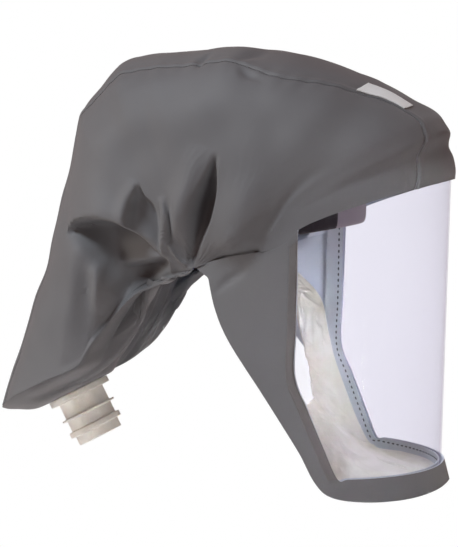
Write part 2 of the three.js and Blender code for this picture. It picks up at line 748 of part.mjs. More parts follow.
function labelPatch() {
  const grid = [];
  for (let i = 0; i <= 4; i += 1) {
    const u = LABEL_FROM + ((LABEL_TO - LABEL_FROM) * i) / 4;
    const line = crownHalf(section(u), -1, 40);
    const row = [];
    for (let j = 0; j <= 2; j += 1) {
      const share = LABEL_SEAM + ((LABEL_TOP - LABEL_SEAM) * j) / 2;
      row.push(line[Math.round(share * 40)].clone());
    }
    grid.push(row);
  }
  return wall(grid, LABEL_THICK, true, LABEL_THICK + SEAM_GAP);
}

// Cutting the connector's hole out of the duct's underside
const wasm = await Module();
wasm.setup();

function solidOf(geometry) {
  const mesh = new wasm.Mesh({
    numProp: 3,
    vertProperties: new Float32Array(geometry.getAttribute("position").array),
    triVerts: new Uint32Array(geometry.getIndex().array),
  });
  return new wasm.Manifold(mesh);
}

// A closed cylinder on the connector's axis
function drill() {
  const round = new THREE.CylinderGeometry(CONNECTOR_HOLE, CONNECTOR_HOLE, DRILL_LONG, CONNECTOR_SEGMENTS);
  round.deleteAttribute("normal");
  round.deleteAttribute("uv");
  round.applyQuaternion(connectorTurn);
  round.translate(connectorTop.x, connectorTop.y, connectorTop.z);
  return mergeVertices(round);
}

function withHole(geometry) {
  const mesh = solidOf(geometry).subtract(solidOf(drill())).getMesh();
  const points = [];
  for (let i = 0; i < mesh.vertProperties.length; i += mesh.numProp) {
    points.push(new THREE.Vector3().fromArray(mesh.vertProperties, i));
  }
  const faces = [];
  for (let i = 0; i < mesh.triVerts.length; i += 3) {
    faces.push(Array.from(mesh.triVerts.slice(i, i + 3)));
  }
  return geometryOf(points, faces);
}

// The assembly
const GREY = 0x6a696d;
const group = new THREE.Group();
group.name = "powered_air_respirator_hood";

function add(name, geometry, color, look) {
  const mesh = new THREE.Mesh(geometry, new THREE.MeshStandardMaterial({ color, roughness: 0.8, ...look }));
  mesh.name = name;
  group.add(mesh);
  return mesh;
}

const leftSide = sidePanel();
const leftBinding = binding();
const leftTab = bandTab();
add("crown_panel", crownPanel(), GREY);
add("side_panel_left", leftSide, GREY);
add("side_panel_right", mirrored(leftSide), GREY);
add("chin_panel", chinPanel(), GREY);
add("duct_floor", withHole(ductFloor()), GREY);
add("visor", visor(), 0xe8e6f3, { transparent: true, opacity: 0.35, roughness: 0.1 });
add("visor_binding_left", leftBinding, 0x616161);
add("visor_binding_right", mirrored(leftBinding), 0x616161);
add("visor_tape", tape(), 0xa3adb6);
add("face_seal", faceSeal(), 0xbab4ae);
add("headband", headBand(), 0x2a282c);
add("headband_tab_left", leftTab, 0x2a282c);
add("headband_tab_right", mirrored(leftTab), 0x2a282c);
const neck = add("hose_connector", connector(), 0xb3aaa1, { roughness: 0.5 });
neck.position.copy(connectorTop);
neck.quaternion.copy(connectorTurn);
add("label_patch", labelPatch(), 0xe8e8e8);

export default group;
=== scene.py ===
"""Looks of a powered air respirator hood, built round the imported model. The tables are in millimetres."""
import math

import bpy
import numpy as np
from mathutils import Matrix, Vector


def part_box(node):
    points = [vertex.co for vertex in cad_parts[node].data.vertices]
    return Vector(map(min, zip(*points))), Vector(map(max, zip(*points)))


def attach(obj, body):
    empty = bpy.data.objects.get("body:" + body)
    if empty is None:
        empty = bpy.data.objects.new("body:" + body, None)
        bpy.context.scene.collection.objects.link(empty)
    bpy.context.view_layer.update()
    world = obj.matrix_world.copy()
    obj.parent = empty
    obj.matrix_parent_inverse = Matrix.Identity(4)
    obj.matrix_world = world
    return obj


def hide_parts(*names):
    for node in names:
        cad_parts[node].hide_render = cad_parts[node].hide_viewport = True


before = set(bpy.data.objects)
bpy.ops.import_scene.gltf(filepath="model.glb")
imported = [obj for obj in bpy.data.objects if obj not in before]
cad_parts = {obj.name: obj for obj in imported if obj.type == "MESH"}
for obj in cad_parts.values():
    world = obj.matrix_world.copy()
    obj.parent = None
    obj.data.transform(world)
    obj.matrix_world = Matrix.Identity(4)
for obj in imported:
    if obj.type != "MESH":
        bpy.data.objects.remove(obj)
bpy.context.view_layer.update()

MM = 0.001
BODY = "root"

# Camera: direction, distance, height and aim in metres, and focal length in pixels of a 458 by 547 picture
CAMERA_AZIMUTH = -76.0
CAMERA_AWAY = 1.2
CAMERA_HEIGHT = 0.071
CAMERA_AIM = (0.0, 0.0, -0.034)
FOCAL_PIXELS = 1714.0
PICTURE_HEIGHT = 547
FILM_HEIGHT = 36.0

# Studio: floor below the picture's lower edge, light from all round as its colour from below and from above,
# and lamps as name, place, aim, power, size, spread in degrees, colour, and whether they show in gloss
FLOOR_HEIGHT = -0.5
FLOOR_SIZE = 0.9
FLOOR_LOW = (0.84, 0.83, 0.82)
FLOOR_HIGH = (0.88, 0.87, 0.86)
FLOOR_PATCHES = 2.0
FLOOR_ROUGH = 0.9
WORLD_COLOURS = ((0.19, 0.1, 0.08), (0.19, 0.1, 0.08))
WORLD_AT = (0.4, 0.65)
LIGHTS = [
    ("key", (-1.28, 0.6, 1.45), (0, 0, 0), 28.0, 0.45, 180, (0.95, 1.0, 1.06), True),
    ("behind", (-0.7, 1.5, 0.4), (0, 0, 0), 7.2, 0.45, 180, (1.12, 1.0, 0.88), True),
    ("low", (-1.1, -1.1, -0.6), (0, 0, 0), 7.6, 0.6, 180, (1.0, 1.0, 1.0), True),
    ("face", (-0.9, -1.1, 0.55), (0, -0.105, -0.095), 0.075, 0.12, 9, (1.0, 1.0, 1.0), True),
    ("inside", (-0.95, -1.15, -0.3), (0.07, -0.08, -0.04), 0.02, 0.12, 8, (1.0, 1.0, 1.0), True),
    ("duct", (-1.1, 0.35, -0.55), (0, 0.1, -0.125), 0.013, 0.1, 8, (1.0, 0.96, 0.92), True),
    ("far side", (1.5, 0.25, 0.12), (0, 0, 0), 16.0, 0.6, 180, (1.0, 1.0, 1.0), False),
]

# Wall thicknesses
CLOTH = 1.2
TRIM = 0.9
SEAM_GAP = 0.1

# The gather below the ear. In the tables, f is the distance forward, l to the wearer's left and z up.
GATHER_F = -4.0
GATHER_Z = -24.0
GATHER_L = 78.0
GATHER_LONG = 1.2
GATHER_HIGH = 0.6

# Hood sections from the brow over the crown to the tip of the duct: crown f and z, share of the reach where
# it is widest, half width there and at the seam, power, bow
SECTIONS = [
    (157.3, 33.5, 0.445, 88, 54, 2.0, 4),
    (157.4, 40, 0.455, 88.3, 52.5, 2.0, 4),
    (155, 47.5, 0.465, 88.7, 50.5, 2.0, 4),
    (151.8, 54.5, 0.47, 89, 48, 2.0, 3.5),
    (151.9, 59.5, 0.475, 89.3, 46, 2.03, 3),
    (153.3, 65, 0.48, 89.6, 44, 2.05, 3),
    (150.6, 70.5, 0.485, 90.3, 43, 2.08, 2.5),
    (143, 79.3, 0.5, 92, 42, 2.15, 2),
    (119, 92, 0.53, 94, 48, 2.3, 1),
    (95, 104, 0.55, 96, 64, 2.5, 0),
    (60, 115.5, 0.56, 97, 77, 2.7, 0),
    (22, 123, 0.56, 98, 74, 2.8, 0),
    (-20, 122, 0.56, 97, 71, 2.6, 0),
    (-46, 119.3, 0.56, 94.5, 66.5, 2.4, 0),
    (-58, 117.6, 0.56, 93.3, 64.5, 2.32, 0),
    (-66.4, 116, 0.56, 92.2, 62, 2.25, 0),
    (-73, 111.2, 0.56, 91.3, 60.5, 2.2, 0),
    (-88, 96, 0.56, 89.5, 55, 2.17, 0),
    (-96.8, 85.6, 0.56, 88.2, 51, 2.15, 0),
    (-99.3, 78, 0.56, 87.6, 49, 2.15, 0),
    (-101, 70, 0.56, 87, 47.5, 2.15, 0),
    (-104.8, 54, 0.56, 85.8, 46, 2.15, 0),
    (-111, 29, 0.56, 84, 44, 2.15, 0),
    (-119.5, -5, 0.56, 82, 44, 2.2, 0),
    (-129.5, -38, 0.56, 78, 43, 2.2, 0),
    (-140.5, -68, 0.56, 74, 42, 2.2, 0),
    (-151.5, -97, 0.56, 70, 40, 2.2, 0),
    (-159.5, -118, 0.56, 67.5, 39, 2.2, 0),
    (-165, -134, 0.56, 66, 38, 2.2, 0),
]

# Mesh of the hood: rows, columns of each part of a row, crowding at the seams, rows and columns by its edges
# where slack cloth lies still, and the part of a side whose wall is thick sideways
HOOD_ROWS = 300
STATION_STEPS = 3000
FLAT_STEPS = 64
TURN_STEPS = 30
CROWN_STEPS = 26
SEAM_CLUSTER = 1.8
STILL_ROWS = 10
STILL_COLUMNS = 12
SIDEWAYS_FROM = 0.7 * FLAT_STEPS
SIDEWAYS_TO = FLAT_STEPS + 8
EDGE_STEPS = 200
SECTION_STEPS = 60

# Lower edge of a side along the duct, as share of its length and rise above the straight line to the tip
CREASE = [
    (0, 0), (0.13, 4.9), (0.19, 6.9), (0.256, 9.4), (0.36, 5.5), (0.455, -0.5), (0.51, -4.5),
    (0.56, -9), (0.63, -7.2), (0.7, -4.4), (0.79, -2), (0.87, 0), (1, 0),
]
CREASE_BEARING = 186.0
CREASE_RIDGE = 2.0
CREASE_RIDGE_WIDE = 3.0
CREASE_RIDGE_ALONG = (0.15, 0.25, 0.55, 0.7)

# Lower edge of a side along the cheek and brow, as share of its length and drop below the straight line
BROW_DROP = [
    (0, 0), (0.08, 0.6), (0.16, 2.6), (0.24, 5.8), (0.32, 8.4), (0.38, 7.6), (0.445, 2.8), (0.55, 0.8),
    (0.75, 0), (1, 0),
]
BROW_SPREAD = 14.0

# The side panel's lower edge in front of the gather goes in and down behind the chin panel, which stands out
# there. It goes less far in on the wearer's left. The rows of the chin's hidden edge are height and depth.
TUCK_STAND = 1.5
TUCK_IN = 14.0
TUCK_IN_LEFT = 8.0
TUCK_DOWN = 3.0
TUCK_WIDE = 6.0
TUCK_SKEW = 1.6
TUCK_FROM = 6.0
TUCK_LONG = 48.0
TUCK_POWER = 0.8
TUCK_FADE = 0.4
TUCK_HIDDEN = 4
TUCK_ROWS = [(7.0, 3.2), (5.0, 2.8), (2.5, 2.2)]

# Fine pleats that run into the gather
PLEAT_HIGH = 0.15
PLEAT_LONG = 24.0
PLEAT_TURNS = 26.0
PLEAT_SWAY = 1.5
PLEAT_SWAY_TURNS = 7.0
PLEAT_FROM = (2.0, 8.0)

# Folds of a side, as lines seen from the wearer's right: f, z, depth inward, and half widths to the left and
# right of the way along the line. The last value of a fold is the power of its cross section.
FOLDS = {
    "front slit": ([
        (-6, -21, 1, 2, 2), (-4, -14, 6, 3.4, 2.8), (0.5, -4, 11, 5.5, 3.2), (4.5, 5, 15, 7, 3.5),
        (8, 14, 18, 7.5, 3.5), (10.8, 24, 18, 6.5, 3), (12.8, 34, 13, 4.5, 2.5), (14.6, 43, 6, 3, 2),
        (16, 52, 0, 2, 2),
    ], 3),
    "slit front ridge": ([
        (6, -19, 0, 6, 5), (17, -12, -3, 10, 7), (27, -2, -5, 14, 10), (33, 12, -6, 17, 12),
        (35, 28, -5, 18, 14), (37, 44, -3, 18, 14), (39, 62, -1.5, 16, 14), (41, 82, 0, 14, 12),
    ], 2),
    "slit back ridge": ([
        (-14, -8, 0, 4, 4), (-12, 2, -3, 5, 6), (-10, 13, -5, 6, 7), (-5, 27, -5, 8, 7),
        (1, 42, -3, 9, 7), (6, 58, 0, 9, 9),
    ], 2),
    "pocket": ([
        (-25.5, -16, 0, 1.5, 1.5), (-30, -10.5, 6.5, 5, 5), (-33.5, -3, 8.5, 9, 9),
        (-35, 4, 9.5, 10.2, 10.2), (-35.5, 12, 10, 9.5, 9.5), (-37.4, 20, 9.5, 6.3, 6.3),
        (-37.8, 25, 7, 3.4, 3.4), (-38, 31, 0, 1.5, 1.5),
    ], 6),
    "pocket rim": ([
        (-46, -2, 0, 4, 2), (-48, 7.5, -2.5, 5, 2), (-46, 20, -3, 5, 2), (-41, 29, -2, 5, 2),
        (-38, 34, 0, 4, 2),
    ], 2),
    "rib": ([
        (-25.5, -16, 0, 2, 2), (-22.6, -5.4, -3.5, 1.8, 2), (-20.5, 4, -4, 2, 2.2),
        (-19.6, 11, -4, 2, 2.2), (-20.6, 17, -2.5, 2, 2.5), (-21.5, 24, 0, 3, 3),
    ], 2),
    "rib groove": ([
        (-19, -10, 0, 2, 2), (-17.5, 0, 2.5, 2, 2.5), (-15.5, 8, 2.5, 2, 2.5), (-16, 16, 1.5, 2.5, 3),
        (-17, 24, 0, 3, 3),
    ], 2),
    "small ridge": ([
        (-8, -21.8, 0, 1.5, 1.5), (-12.8, -19.5, -3, 1.6, 1.8), (-17.5, -11.9, -3, 1.6, 1.8),
        (-22.3, -2.7, 0, 1.5, 1.5),
    ], 2),
    "low ridge": ([
        (-69.5, -17, 0, 4, 4), (-70.2, -26.2, -4, 3.5, 6), (-71.6, -36.3, -5, 3.5, 6),
        (-73, -46.3, -4, 3.5, 6), (-74, -58, 0, 3.5, 5),
    ], 2),
    "low valley": ([
        (-31.4, -24.2, 0, 3, 3), (-43.1, -31.4, 5, 5, 6), (-54.9, -39, 9, 6, 8), (-62, -49.2, 9, 6, 7),
        (-69.8, -62.8, 7, 6, 6), (-78.3, -77.9, 0, 6, 6),
    ], 2),
    "bag valley": ([
        (-78, -12, 0, 6, 6), (-80, -30, 3, 6, 5), (-82, -52, 3.5, 7, 5), (-85, -75, 2, 7, 6),
        (-88, -90, 0, 7, 6),
    ], 2),
    "bag light": ([
        (-84.8, -6, 0, 6, 6), (-90.5, -39.8, -2, 8, 6), (-97, -70, -1.5, 8, 6), (-101, -95, 0, 8, 6),
    ], 2),
    "front soft": ([
        (38.3, -14, 0, 7, 7), (47, -0.9, 0.7, 8, 9), (56.8, 20, 0.8, 10, 11), (67.9, 36.1, 0.6, 10, 12),
        (79.6, 49, 0, 12, 12),
    ], 2),
    "brow arc": ([
        (41, -13, 0, 3, 3), (48.5, 2, 1.3, 3, 2), (56.2, 16, 1.5, 3, 2), (65.3, 27, 1.4, 3.4, 2.4),
        (75.8, 37, 1.1, 4, 3), (90, 43, 0.6, 6, 5), (108, 47, 0, 6, 6),
    ], 2),
    "cheek crease": ([
        (9, -41.5, 0, 2, 2), (18.9, -32, 2.2, 2.5, 3), (27.7, -26, 2, 2.5, 3), (34, -21.5, 0, 2, 2),
    ], 2),
}
FOLD_STEPS = 12
FOLD_LEAST = 0.5

# Broad swell of a side, and its cloth that hangs over the cloth below it, as lines with f, z, depth inward,
# and half heights of the form below and above the line
SHELF_STEPS = 100
SHELVES = {
    "swell": [
        (76, 14, 0, 10, 30), (58, 8, -1.5, 10, 32), (42, 2, -5, 11, 34), (26, -2, -9, 14, 34),
        (10, 5, -8, 20, 30), (-20, 16, -6, 28, 28), (-60, 18, -5, 30, 30), (-95, 20, 0, 30, 30),
    ],
    "overhang": [
        (-21, -21, 0, 4, 2), (-27.5, -17.6, 11, 14, 1.8), (-39.5, -8.2, 20, 27, 2),
        (-51.5, 0.8, 23, 31, 2.2), (-64.3, 4.2, 25, 29, 2.4), (-78, 4, 19, 16, 2.4),
        (-87.5, 1.8, 9, 8, 2.5), (-94, -3, 0, 5, 3),
    ],
    "overhang crest": [
        (-24, -14, 0, 3, 4), (-37, -3.5, -4, 3, 9), (-50, 5.8, -7, 3.2, 13), (-64.3, 9.3, -8, 3.2, 15),
        (-78.3, 9, -6, 3.2, 13), (-88, 6.4, -4, 3.2, 9), (-95, 1, 0, 3, 6),
    ],
    "hollow": [
        (-22, -20.5, 0, 4, 4), (-30, -22.5, 5, 7, 9), (-40.3, -25, 10, 13, 15), (-52, -27, 12, 16, 18),
        (-61, -26, 8, 14, 16), (-71.5, -19, 2, 8, 11), (-79, -12, 0, 6, 8),
    ],
}

# Short creases by the right crown seam and the brow, as f, z, depth and half width
MARKS = {
    "seam pucker": [
        (-7.3, 112.1, 0, 1.5), (-3.2, 112.7, 1.5, 1.7), (0.2, 115.3, 1.7, 1.7), (2.2, 119, 0, 1.5),
    ],
    "second pucker": [(-4.5, 108, 0, 1.4), (-1.5, 110.5, 1.4, 1.6), (0.9, 113.9, 0, 1.4)],
    "upper dent": [(22, 110, 0, 3), (27.9, 115, 1.7, 3), (33.3, 116.9, 1.7, 3), (40, 116, 0, 3)],
    "lower dent": [(24, 111, 0, 2.5), (30, 104.4, 2, 2.3), (36, 101.8, 1.7, 2.3), (44, 99.5, 0, 2.5)],
    "back ridge": [(-74, 88.5, 0, 3), (-66, 93.4, -0.9, 3), (-54.8, 98.7, -0.9, 3), (-36, 106, 0, 3)],
    "brow hook": [
        (129, 44, 0, 1.6), (134.8, 37.6, 0.7, 1.6), (136.1, 31.7, 0.8, 1.6), (135.4, 24, 0.6, 1.6),
    ],
}
MARK_STEPS = 40
MARK_LIMIT = -15.0

# Crown seams: height and width of the rolled edge, depth of the groove, and the puckers along it
WELT_HIGH = 0.8
WELT_WIDE = 2.4
WELT_AT = 2.8
GROOVE_DEPTH = 0.35
GROOVE_WIDE = 1.3
PUCKER_HIGH = 0.28
PUCKER_LONG = 13.0
PUCKER_WIDE = 10.0
PUCKER_LOW = 75.0
PUCKER_FADE = 25.0
PUCKER_SWAY = 1.7
PUCKER_SWAY_LONG = 31.0

# Slow swells of slack cloth: waves per metre along f, l and z, phase and height
SWELLS = [
    (9.0, 3.0, 14.0, 0.4, 0.5),
    (-16.0, 6.0, 7.0, 1.9, 0.45),
    (23.0, -9.0, -18.0, 3.1, 0.28),
    (5.0, 17.0, -28.0, 5.2, 0.24),
    (37.0, 11.0, 21.0, 2.6, 0.14),
]

# Visor cylinder: half ellipse in plan, leaning forward at the top, with the cheeks behind it
VISOR_COLUMNS = 241
VISOR_ROWS = 33
VISOR_F = 64.0
VISOR_LONG = 88.0
VISOR_WIDE = 83.5
VISOR_THICK = 0.8
LEAN = math.tan(math.radians(1.4))
LEAN_Z = -60.0
VISOR_BACK = 58.0
VISOR_TUCK = 9.0
VISOR_INSET = 3.0
CHEEK_BACK = 8.0
PLAN_STEP = 0.6
PLAN_FRONT_STEPS = 100
PLAN_CHEEK_STEPS = 60
VISOR_BOTTOM = [(57.6, -95), (86, -166), (94, -171), (120, -171.5), (152, -171.5)]

# Chin panel: edge f and z along the visor, hem f and z, and how far the hem stands out
CHIN_OUT = 2.4
CHIN_STEPS = 16
CHIN_COLUMNS = 41
CHEEK_BLEND = 2.0
HEM_BLEND = 0.15
SWELL_JOIN_FROM = 42.0
SWELL_JOIN_TO = 50.0
CHIN = [
    (66.5, 6, 6, -28, 0),
    (66.2, -30, 11, -50, 0),
    (65.8, -60, 20.5, -71, 0),
    (65, -92, 42, -102.5, 0),
    (73, -113, 55, -122, 0),
    (83, -138, 68, -142.5, 0),
    (92, -159.5, 78, -162, 0),
    (98.5, -160, 88, -171.5, 0.5),
    (113, -160.2, 107, -175.5, 1),
    (131, -160.4, 130, -176.5, 2),
    (144, -160.4, 145, -175.2, 3),
    (149, -160.2, 149, -173.4, 4.1),
    (152.5, -160, 153.5, -172.8, 4.5),
]

# Strip on the visor's side edges, tape behind them, and the tape's stitches
BINDING_STEPS = 120
BINDING_COLUMNS = 13
BINDING_WIDTH = 6.0
BINDING_FROM = 0.25
BINDING_TO = 6.0
BINDING_RAISE = 1.2
BINDING_POWER = 6
BINDING_EDGE = 0.02
TAPE_STEPS = 180
TAPE_COLUMNS = 15
TAPE_FROM = 0.2
TAPE_WIDTH = 13.0
TAPE_FRONT = 9.0
TAPE_NARROWS = (5, 8)
TAPE_INSET = 0.1
TAPE_IN = -0.95
STITCH_PITCH = 4.3
STITCH_LONG = 2.3
STITCH_THICK = 1.1
STITCH_INSET = 3.2
STITCH_MOST = 0.45
STITCH_FROM = 0.3
STITCH_STEPS = 500
STITCH_REACH = 0.5
BEAD_RINGS = [-0.5, -0.42, -0.2, 0.2, 0.42, 0.5]
BEAD_AROUND = 8
BEAD_POWER = 4
BEAD_END = 0.02

# Face seal: sewn f and z, free f, l and z
SEAL_IN = -2.9
SEAL_SAG = 13.0
SEAL_SAG_ROWS = (2, 7)
SEAL_ROWS = 18
SEAL_COLUMNS = 49
SEAL = [
    (31, -38, 29, 68, -50),
    (49, -57, 36, 59, -68),
    (55, -81, 42, 54, -87),
    (60, -102, 47, 50, -104),
    (69, -126, 51, 43, -118),
    (80, -151, 54, 34, -124),
    (92, -167, 56, 25, -125),
    (115, -168, 57.5, 16, -124),
    (137, -168, 58.5, 8, -123),
    (152, -168, 59, 0, -122),
]

# Ripples of the seal: height, waves along and across, phase, and power
SEAL_RIPPLES = [
    (2.8, 2.1, 2.2, 0.0, 0.6),
    (2.0, 3.7, -4.1, 0.8, 0.6),
    (1.3, 1.3, 6.9, 0.4, 0.7),
    (0.8, 7.3, 9.1, 0.0, 0.7),
]
RIPPLE_MEAN = 0.6
RIPPLE_SWAY = 0.35
RIPPLE_SWAY_ALONG = 1.7
RIPPLE_SWAY_ACROSS = 5.0
RIPPLE_FROM = 0.2
RIPPLE_FREE = 0.8
RIPPLE_FREE_CALM = 0.6

# Underside of the duct: bulge below the line from the crease to the nape, waist under the sides, and pleats
# as height, waves, phase, and the shares of the edge between which they grow
FLOOR_BULGE = 23.0
FLOOR_BULGE_ALONG = (0.25, 0.65)
FLOOR_BULGE_POWER = 0.8
FLOOR_WAIST = 0.3
WAIST_ALONG = (0.08, 0.3, 0.6, 0.85)
WAIST_DOWN = (0, 0.14, 0.6, 1)
FLOOR_PLEATS = [(1.3, 40, 0, -1, 0), (1.1, 95, 1, 0.3, 0.45)]
FLOOR_PLEATS_ALONG = (0.02, 0.2)
FLOOR_PLEATS_DOWN = (0.25, 0.8)
NAPE_POWER = 1.2
NAPE_END_F = -6.5
NAPE_END_Z = -26.8
NAPE_MID_F = -62.0
NAPE_MID_Z = -42.0
FLOOR_COLUMNS = 280
FLOOR_ROWS = 60
FLOOR_FLAT = 26.0
FLOOR_BLEND = 46.0
CREASE_GAP = 0.3
FLANGE_GAP = 0.4
HOLE_SPARE = 0.9

# Hose connector: flange top on the mid plane, tilt, bore, and profile as radius and distance along the axis
CONNECTOR_F = -112.5
CONNECTOR_Z = -120.5
CONNECTOR_TILT = math.radians(27.5)
CONNECTOR_HOLE = 17.9
CONNECTOR_BORE = 14.0
CONNECTOR_ROUND = 0.7
ROUND_MOST = 0.45
ROUND_STEPS = 4
CONNECTOR_STEPS = 96
CONNECTOR = [
    (17.2, -7), (17.2, 0), (23, 0), (23, 4.4), (17.2, 4.4), (17.2, 16), (20.4, 16), (20.4, 17.5),
    (17.2, 17.5), (17.2, 26), (19.7, 26), (19.7, 30), (16.5, 30), (16.5, 37),
]

# Head band and its tabs
BAND_LONG = 92.0
BAND_WIDE = 75.0
BAND_HIGH = 24.0
BAND_THICK = 4.0
BAND_PAD = 3.5
PAD_STEP = 1.0
# From PAD_FROM forward the band wears the pad cloth, painted much lighter to stand for the light that falls
# on its front end through the visor
PAD_FROM = 0.87
PAD_EDGE = 0.02
PAD_GROWS = (0.2, 0.75)
BAND_POWER = 0.6
BAND_STEPS = 240
BAND_RING = 32
BAND_TILT = math.tan(math.radians(9))
BAND_CLEAR = 0.6
BAND_SOFT = 1.2
BAND_NEAR = 5.0
TAB_F = 33.0
TAB_Z = 7.0
TAB_WIDE = 20.0
TAB_THICK = 1.6
TAB_WAVE = 0.4
TAB_ROWS = 17
TAB_COLUMNS = 13

# Label by section and by share of the half width from the seam
LABEL_FROM = 7.42
LABEL_TO = 8.6
LABEL_SEAM = 0.03
LABEL_TOP = 0.4
LABEL_THICK = 0.8
LABEL_GAP = 0.2
LABEL_ROWS = 25
LABEL_COLUMNS = 17


# Curves through tables
def smooth(low, high, value):
    """A smooth step from 0 at low to 1 at high."""
    k = np.clip((np.asarray(value, float) - low) / (high - low), 0, 1)
    return k * k * (3 - 2 * k)


def hump(value, start, full, until, gone):
    """A smooth step up and another one down."""
    return smooth(start, full, value) * (1 - smooth(until, gone, value))


def bell(value, wide):
    """1 at 0, falling away on both sides."""
    return np.exp(-((value / wide) ** 2))


def between(low, high, share):
    return low + (high - low) * share


def unit(vectors):
    return vectors / np.linalg.norm(vectors, axis=-1, keepdims=True)


def circle(count):
    """Angles at even steps round a circle."""
    return np.linspace(0, 2 * math.pi, count + 1)[:-1]


def rows_at(table, t):
    """Smooth curve through the rows of a table, at positions t counted in rows."""
    table = np.asarray(table, float)
    t = np.atleast_1d(np.asarray(t, float))
    last = len(table) - 1
    i = np.clip(np.floor(t).astype(int), 0, last - 1)
    k = (t - i)[:, None]
    before = table[np.maximum(i - 1, 0)]
    start = table[i]
    end = table[i + 1]
    after = table[np.minimum(i + 2, last)]
    square = 2 * before - 5 * start + 4 * end - after
    cube = 3 * start - before - 3 * end + after
    return 0.5 * (2 * start + (end - before) * k + square * k**2 + cube * k**3)


def fine_rows(table, count):
    """A number of even steps along the curve through a table."""
    return rows_at(table, np.linspace(0, len(table) - 1, count))


def run_along(line):
    """Length along a line, at each of its points."""
    return np.r_[0, np.cumsum(np.linalg.norm(np.diff(line, axis=0), axis=1))]


def spaced(line, shares, skip_start=0.0, skip_end=0.0):
    """Points of a two-column line at shares of its length, leaving out a length at each end."""
    run = run_along(line)
    at = skip_start + (run[-1] - skip_start - skip_end) * shares
    return np.stack([np.interp(at, run, line[:, 0]), np.interp(at, run, line[:, 1])], 1)


def xyz(f, l, z):
    """A point of the part's frame from its distances forward, to the left and up."""
    f, l, z = np.broadcast_arrays(f, l, z)
    return np.stack([l, -f, z], -1).astype(float)


# Hood surface
FINE = np.linspace(0, 1, SECTION_STEPS)
FIRST_BEARING = math.atan2(SECTIONS[0][1] - GATHER_Z, SECTIONS[0][0] - GATHER_F)
LAST_BEARING = math.atan2(SECTIONS[-1][1] - GATHER_Z, SECTIONS[-1][0] - GATHER_F) % (2 * math.pi)


def section(u):
    """Curves of one cut through the hood, from the gather over the side to the crown."""
    crown_f, crown_z, girth, wide, seam, square, lift = rows_at(SECTIONS, u)[0]
    df = crown_f - GATHER_F
    dz = crown_z - GATHER_Z
    reach = math.hypot(df, dz)
    df /= reach
    dz /= reach
    widest = girth * reach
    start = 1 / math.hypot(df / GATHER_LONG, dz / GATHER_HIGH)
    seam_turn = math.acos((seam / wide) ** (square / 2))

    def arc(turn):
        away = between(widest, reach, np.sin(turn) ** (2 / square))
        return np.stack([away, wide * np.maximum(np.cos(turn), 0) ** (2 / square)], 1)

    flat_wide = between(GATHER_L, wide, np.sin(math.pi / 2 * FINE))
    crown = arc(between(seam_turn, math.pi / 2, FINE))
    crown[-1, 1] = 0
    bearing = math.atan2(dz, df) % (2 * math.pi)
    brow_end = FIRST_BEARING + math.radians(BROW_SPREAD)
    return {
        "df": df,
        "dz": dz,
        "reach": reach,
        "lift": lift,
        "bearing": bearing,
        "near_crease": float(smooth(math.radians(CREASE_BEARING), LAST_BEARING, bearing)),
        "near_brow": 1 - float(smooth(FIRST_BEARING, brow_end, bearing)),
        "flat": np.stack([between(start, widest, FINE), flat_wide], 1),
        "turn": arc(seam_turn * FINE),
        "crown": crown,
    }


FOLD_LINES = [(fine_rows(rows, (len(rows) - 1) * FOLD_STEPS + 1), power) for rows, power in FOLDS.values()]
SIDE_SHELVES = [fine_rows(rows, SHELF_STEPS) for rows in SHELVES.values()]
CHIN_SHELVES = SIDE_SHELVES[1:]


def fold_depth(f, z, shelves=SIDE_SHELVES):
    """How far the folds draw a side inward at points given by f and z."""
    shape = np.shape(f)
    f = np.ravel(f)
    z = np.ravel(z)
    depth = np.zeros(len(f))
    for line, power in FOLD_LINES:
        off_f = f[:, None] - line[None, :, 0]
        off_z = z[:, None] - line[None, :, 1]
        near = np.argmin(off_f**2 + off_z**2, axis=1)
        each = np.arange(len(f))
        way = unit(np.gradient(line[:, :2], axis=0))
        of = off_f[each, near]
        oz = off_z[each, near]
        aside = way[near, 0] * oz - way[near, 1] * of
        width = np.where(aside > 0, line[near, 3], line[near, 4])
        away = np.hypot(of, oz) / np.maximum(width, FOLD_LEAST)
        depth += line[near, 2] * np.exp(-(away**power))
    for line in shelves:
        level, inward, low, high = (np.interp(-f, -line[:, 0], column) for column in line.T[1:])
        drop = level - z
        depth += inward * bell(drop, np.where(drop > 0, low, high))
    return depth.reshape(shape)


def tuck_along(away):
    """How strong the tuck in front of the gather is at a distance from the gather."""
    along = np.clip((away - TUCK_FROM) / (TUCK_LONG - TUCK_FROM), 0, 1)
    return np.sin(math.pi * along**TUCK_SKEW) ** TUCK_POWER


CREASE_SHARE, CREASE_RISE = fine_rows(CREASE, EDGE_STEPS).T
DROP_SHARE, DROP = fine_rows(BROW_DROP, EDGE_STEPS).T
BROW = section(0)
LAST = section(len(SECTIONS) - 1)


def clear_of_band(f, l, z):
    """Half widths kept clear of the head band, where a fold reaches as far in."""
    long = BAND_LONG + BAND_THICK / 2
    band = (BAND_WIDE + BAND_THICK / 2) * np.sqrt(np.maximum(1 - (f / long) ** 2, 0))
    near = 1 - smooth(BAND_HIGH / 2, BAND_HIGH / 2 + BAND_NEAR, np.abs(z - f * BAND_TILT))
    least = band + CLOTH + BAND_CLEAR
    soft = least + BAND_SOFT * np.logaddexp(0, (l - least) / BAND_SOFT)
    return between(l, soft, near)


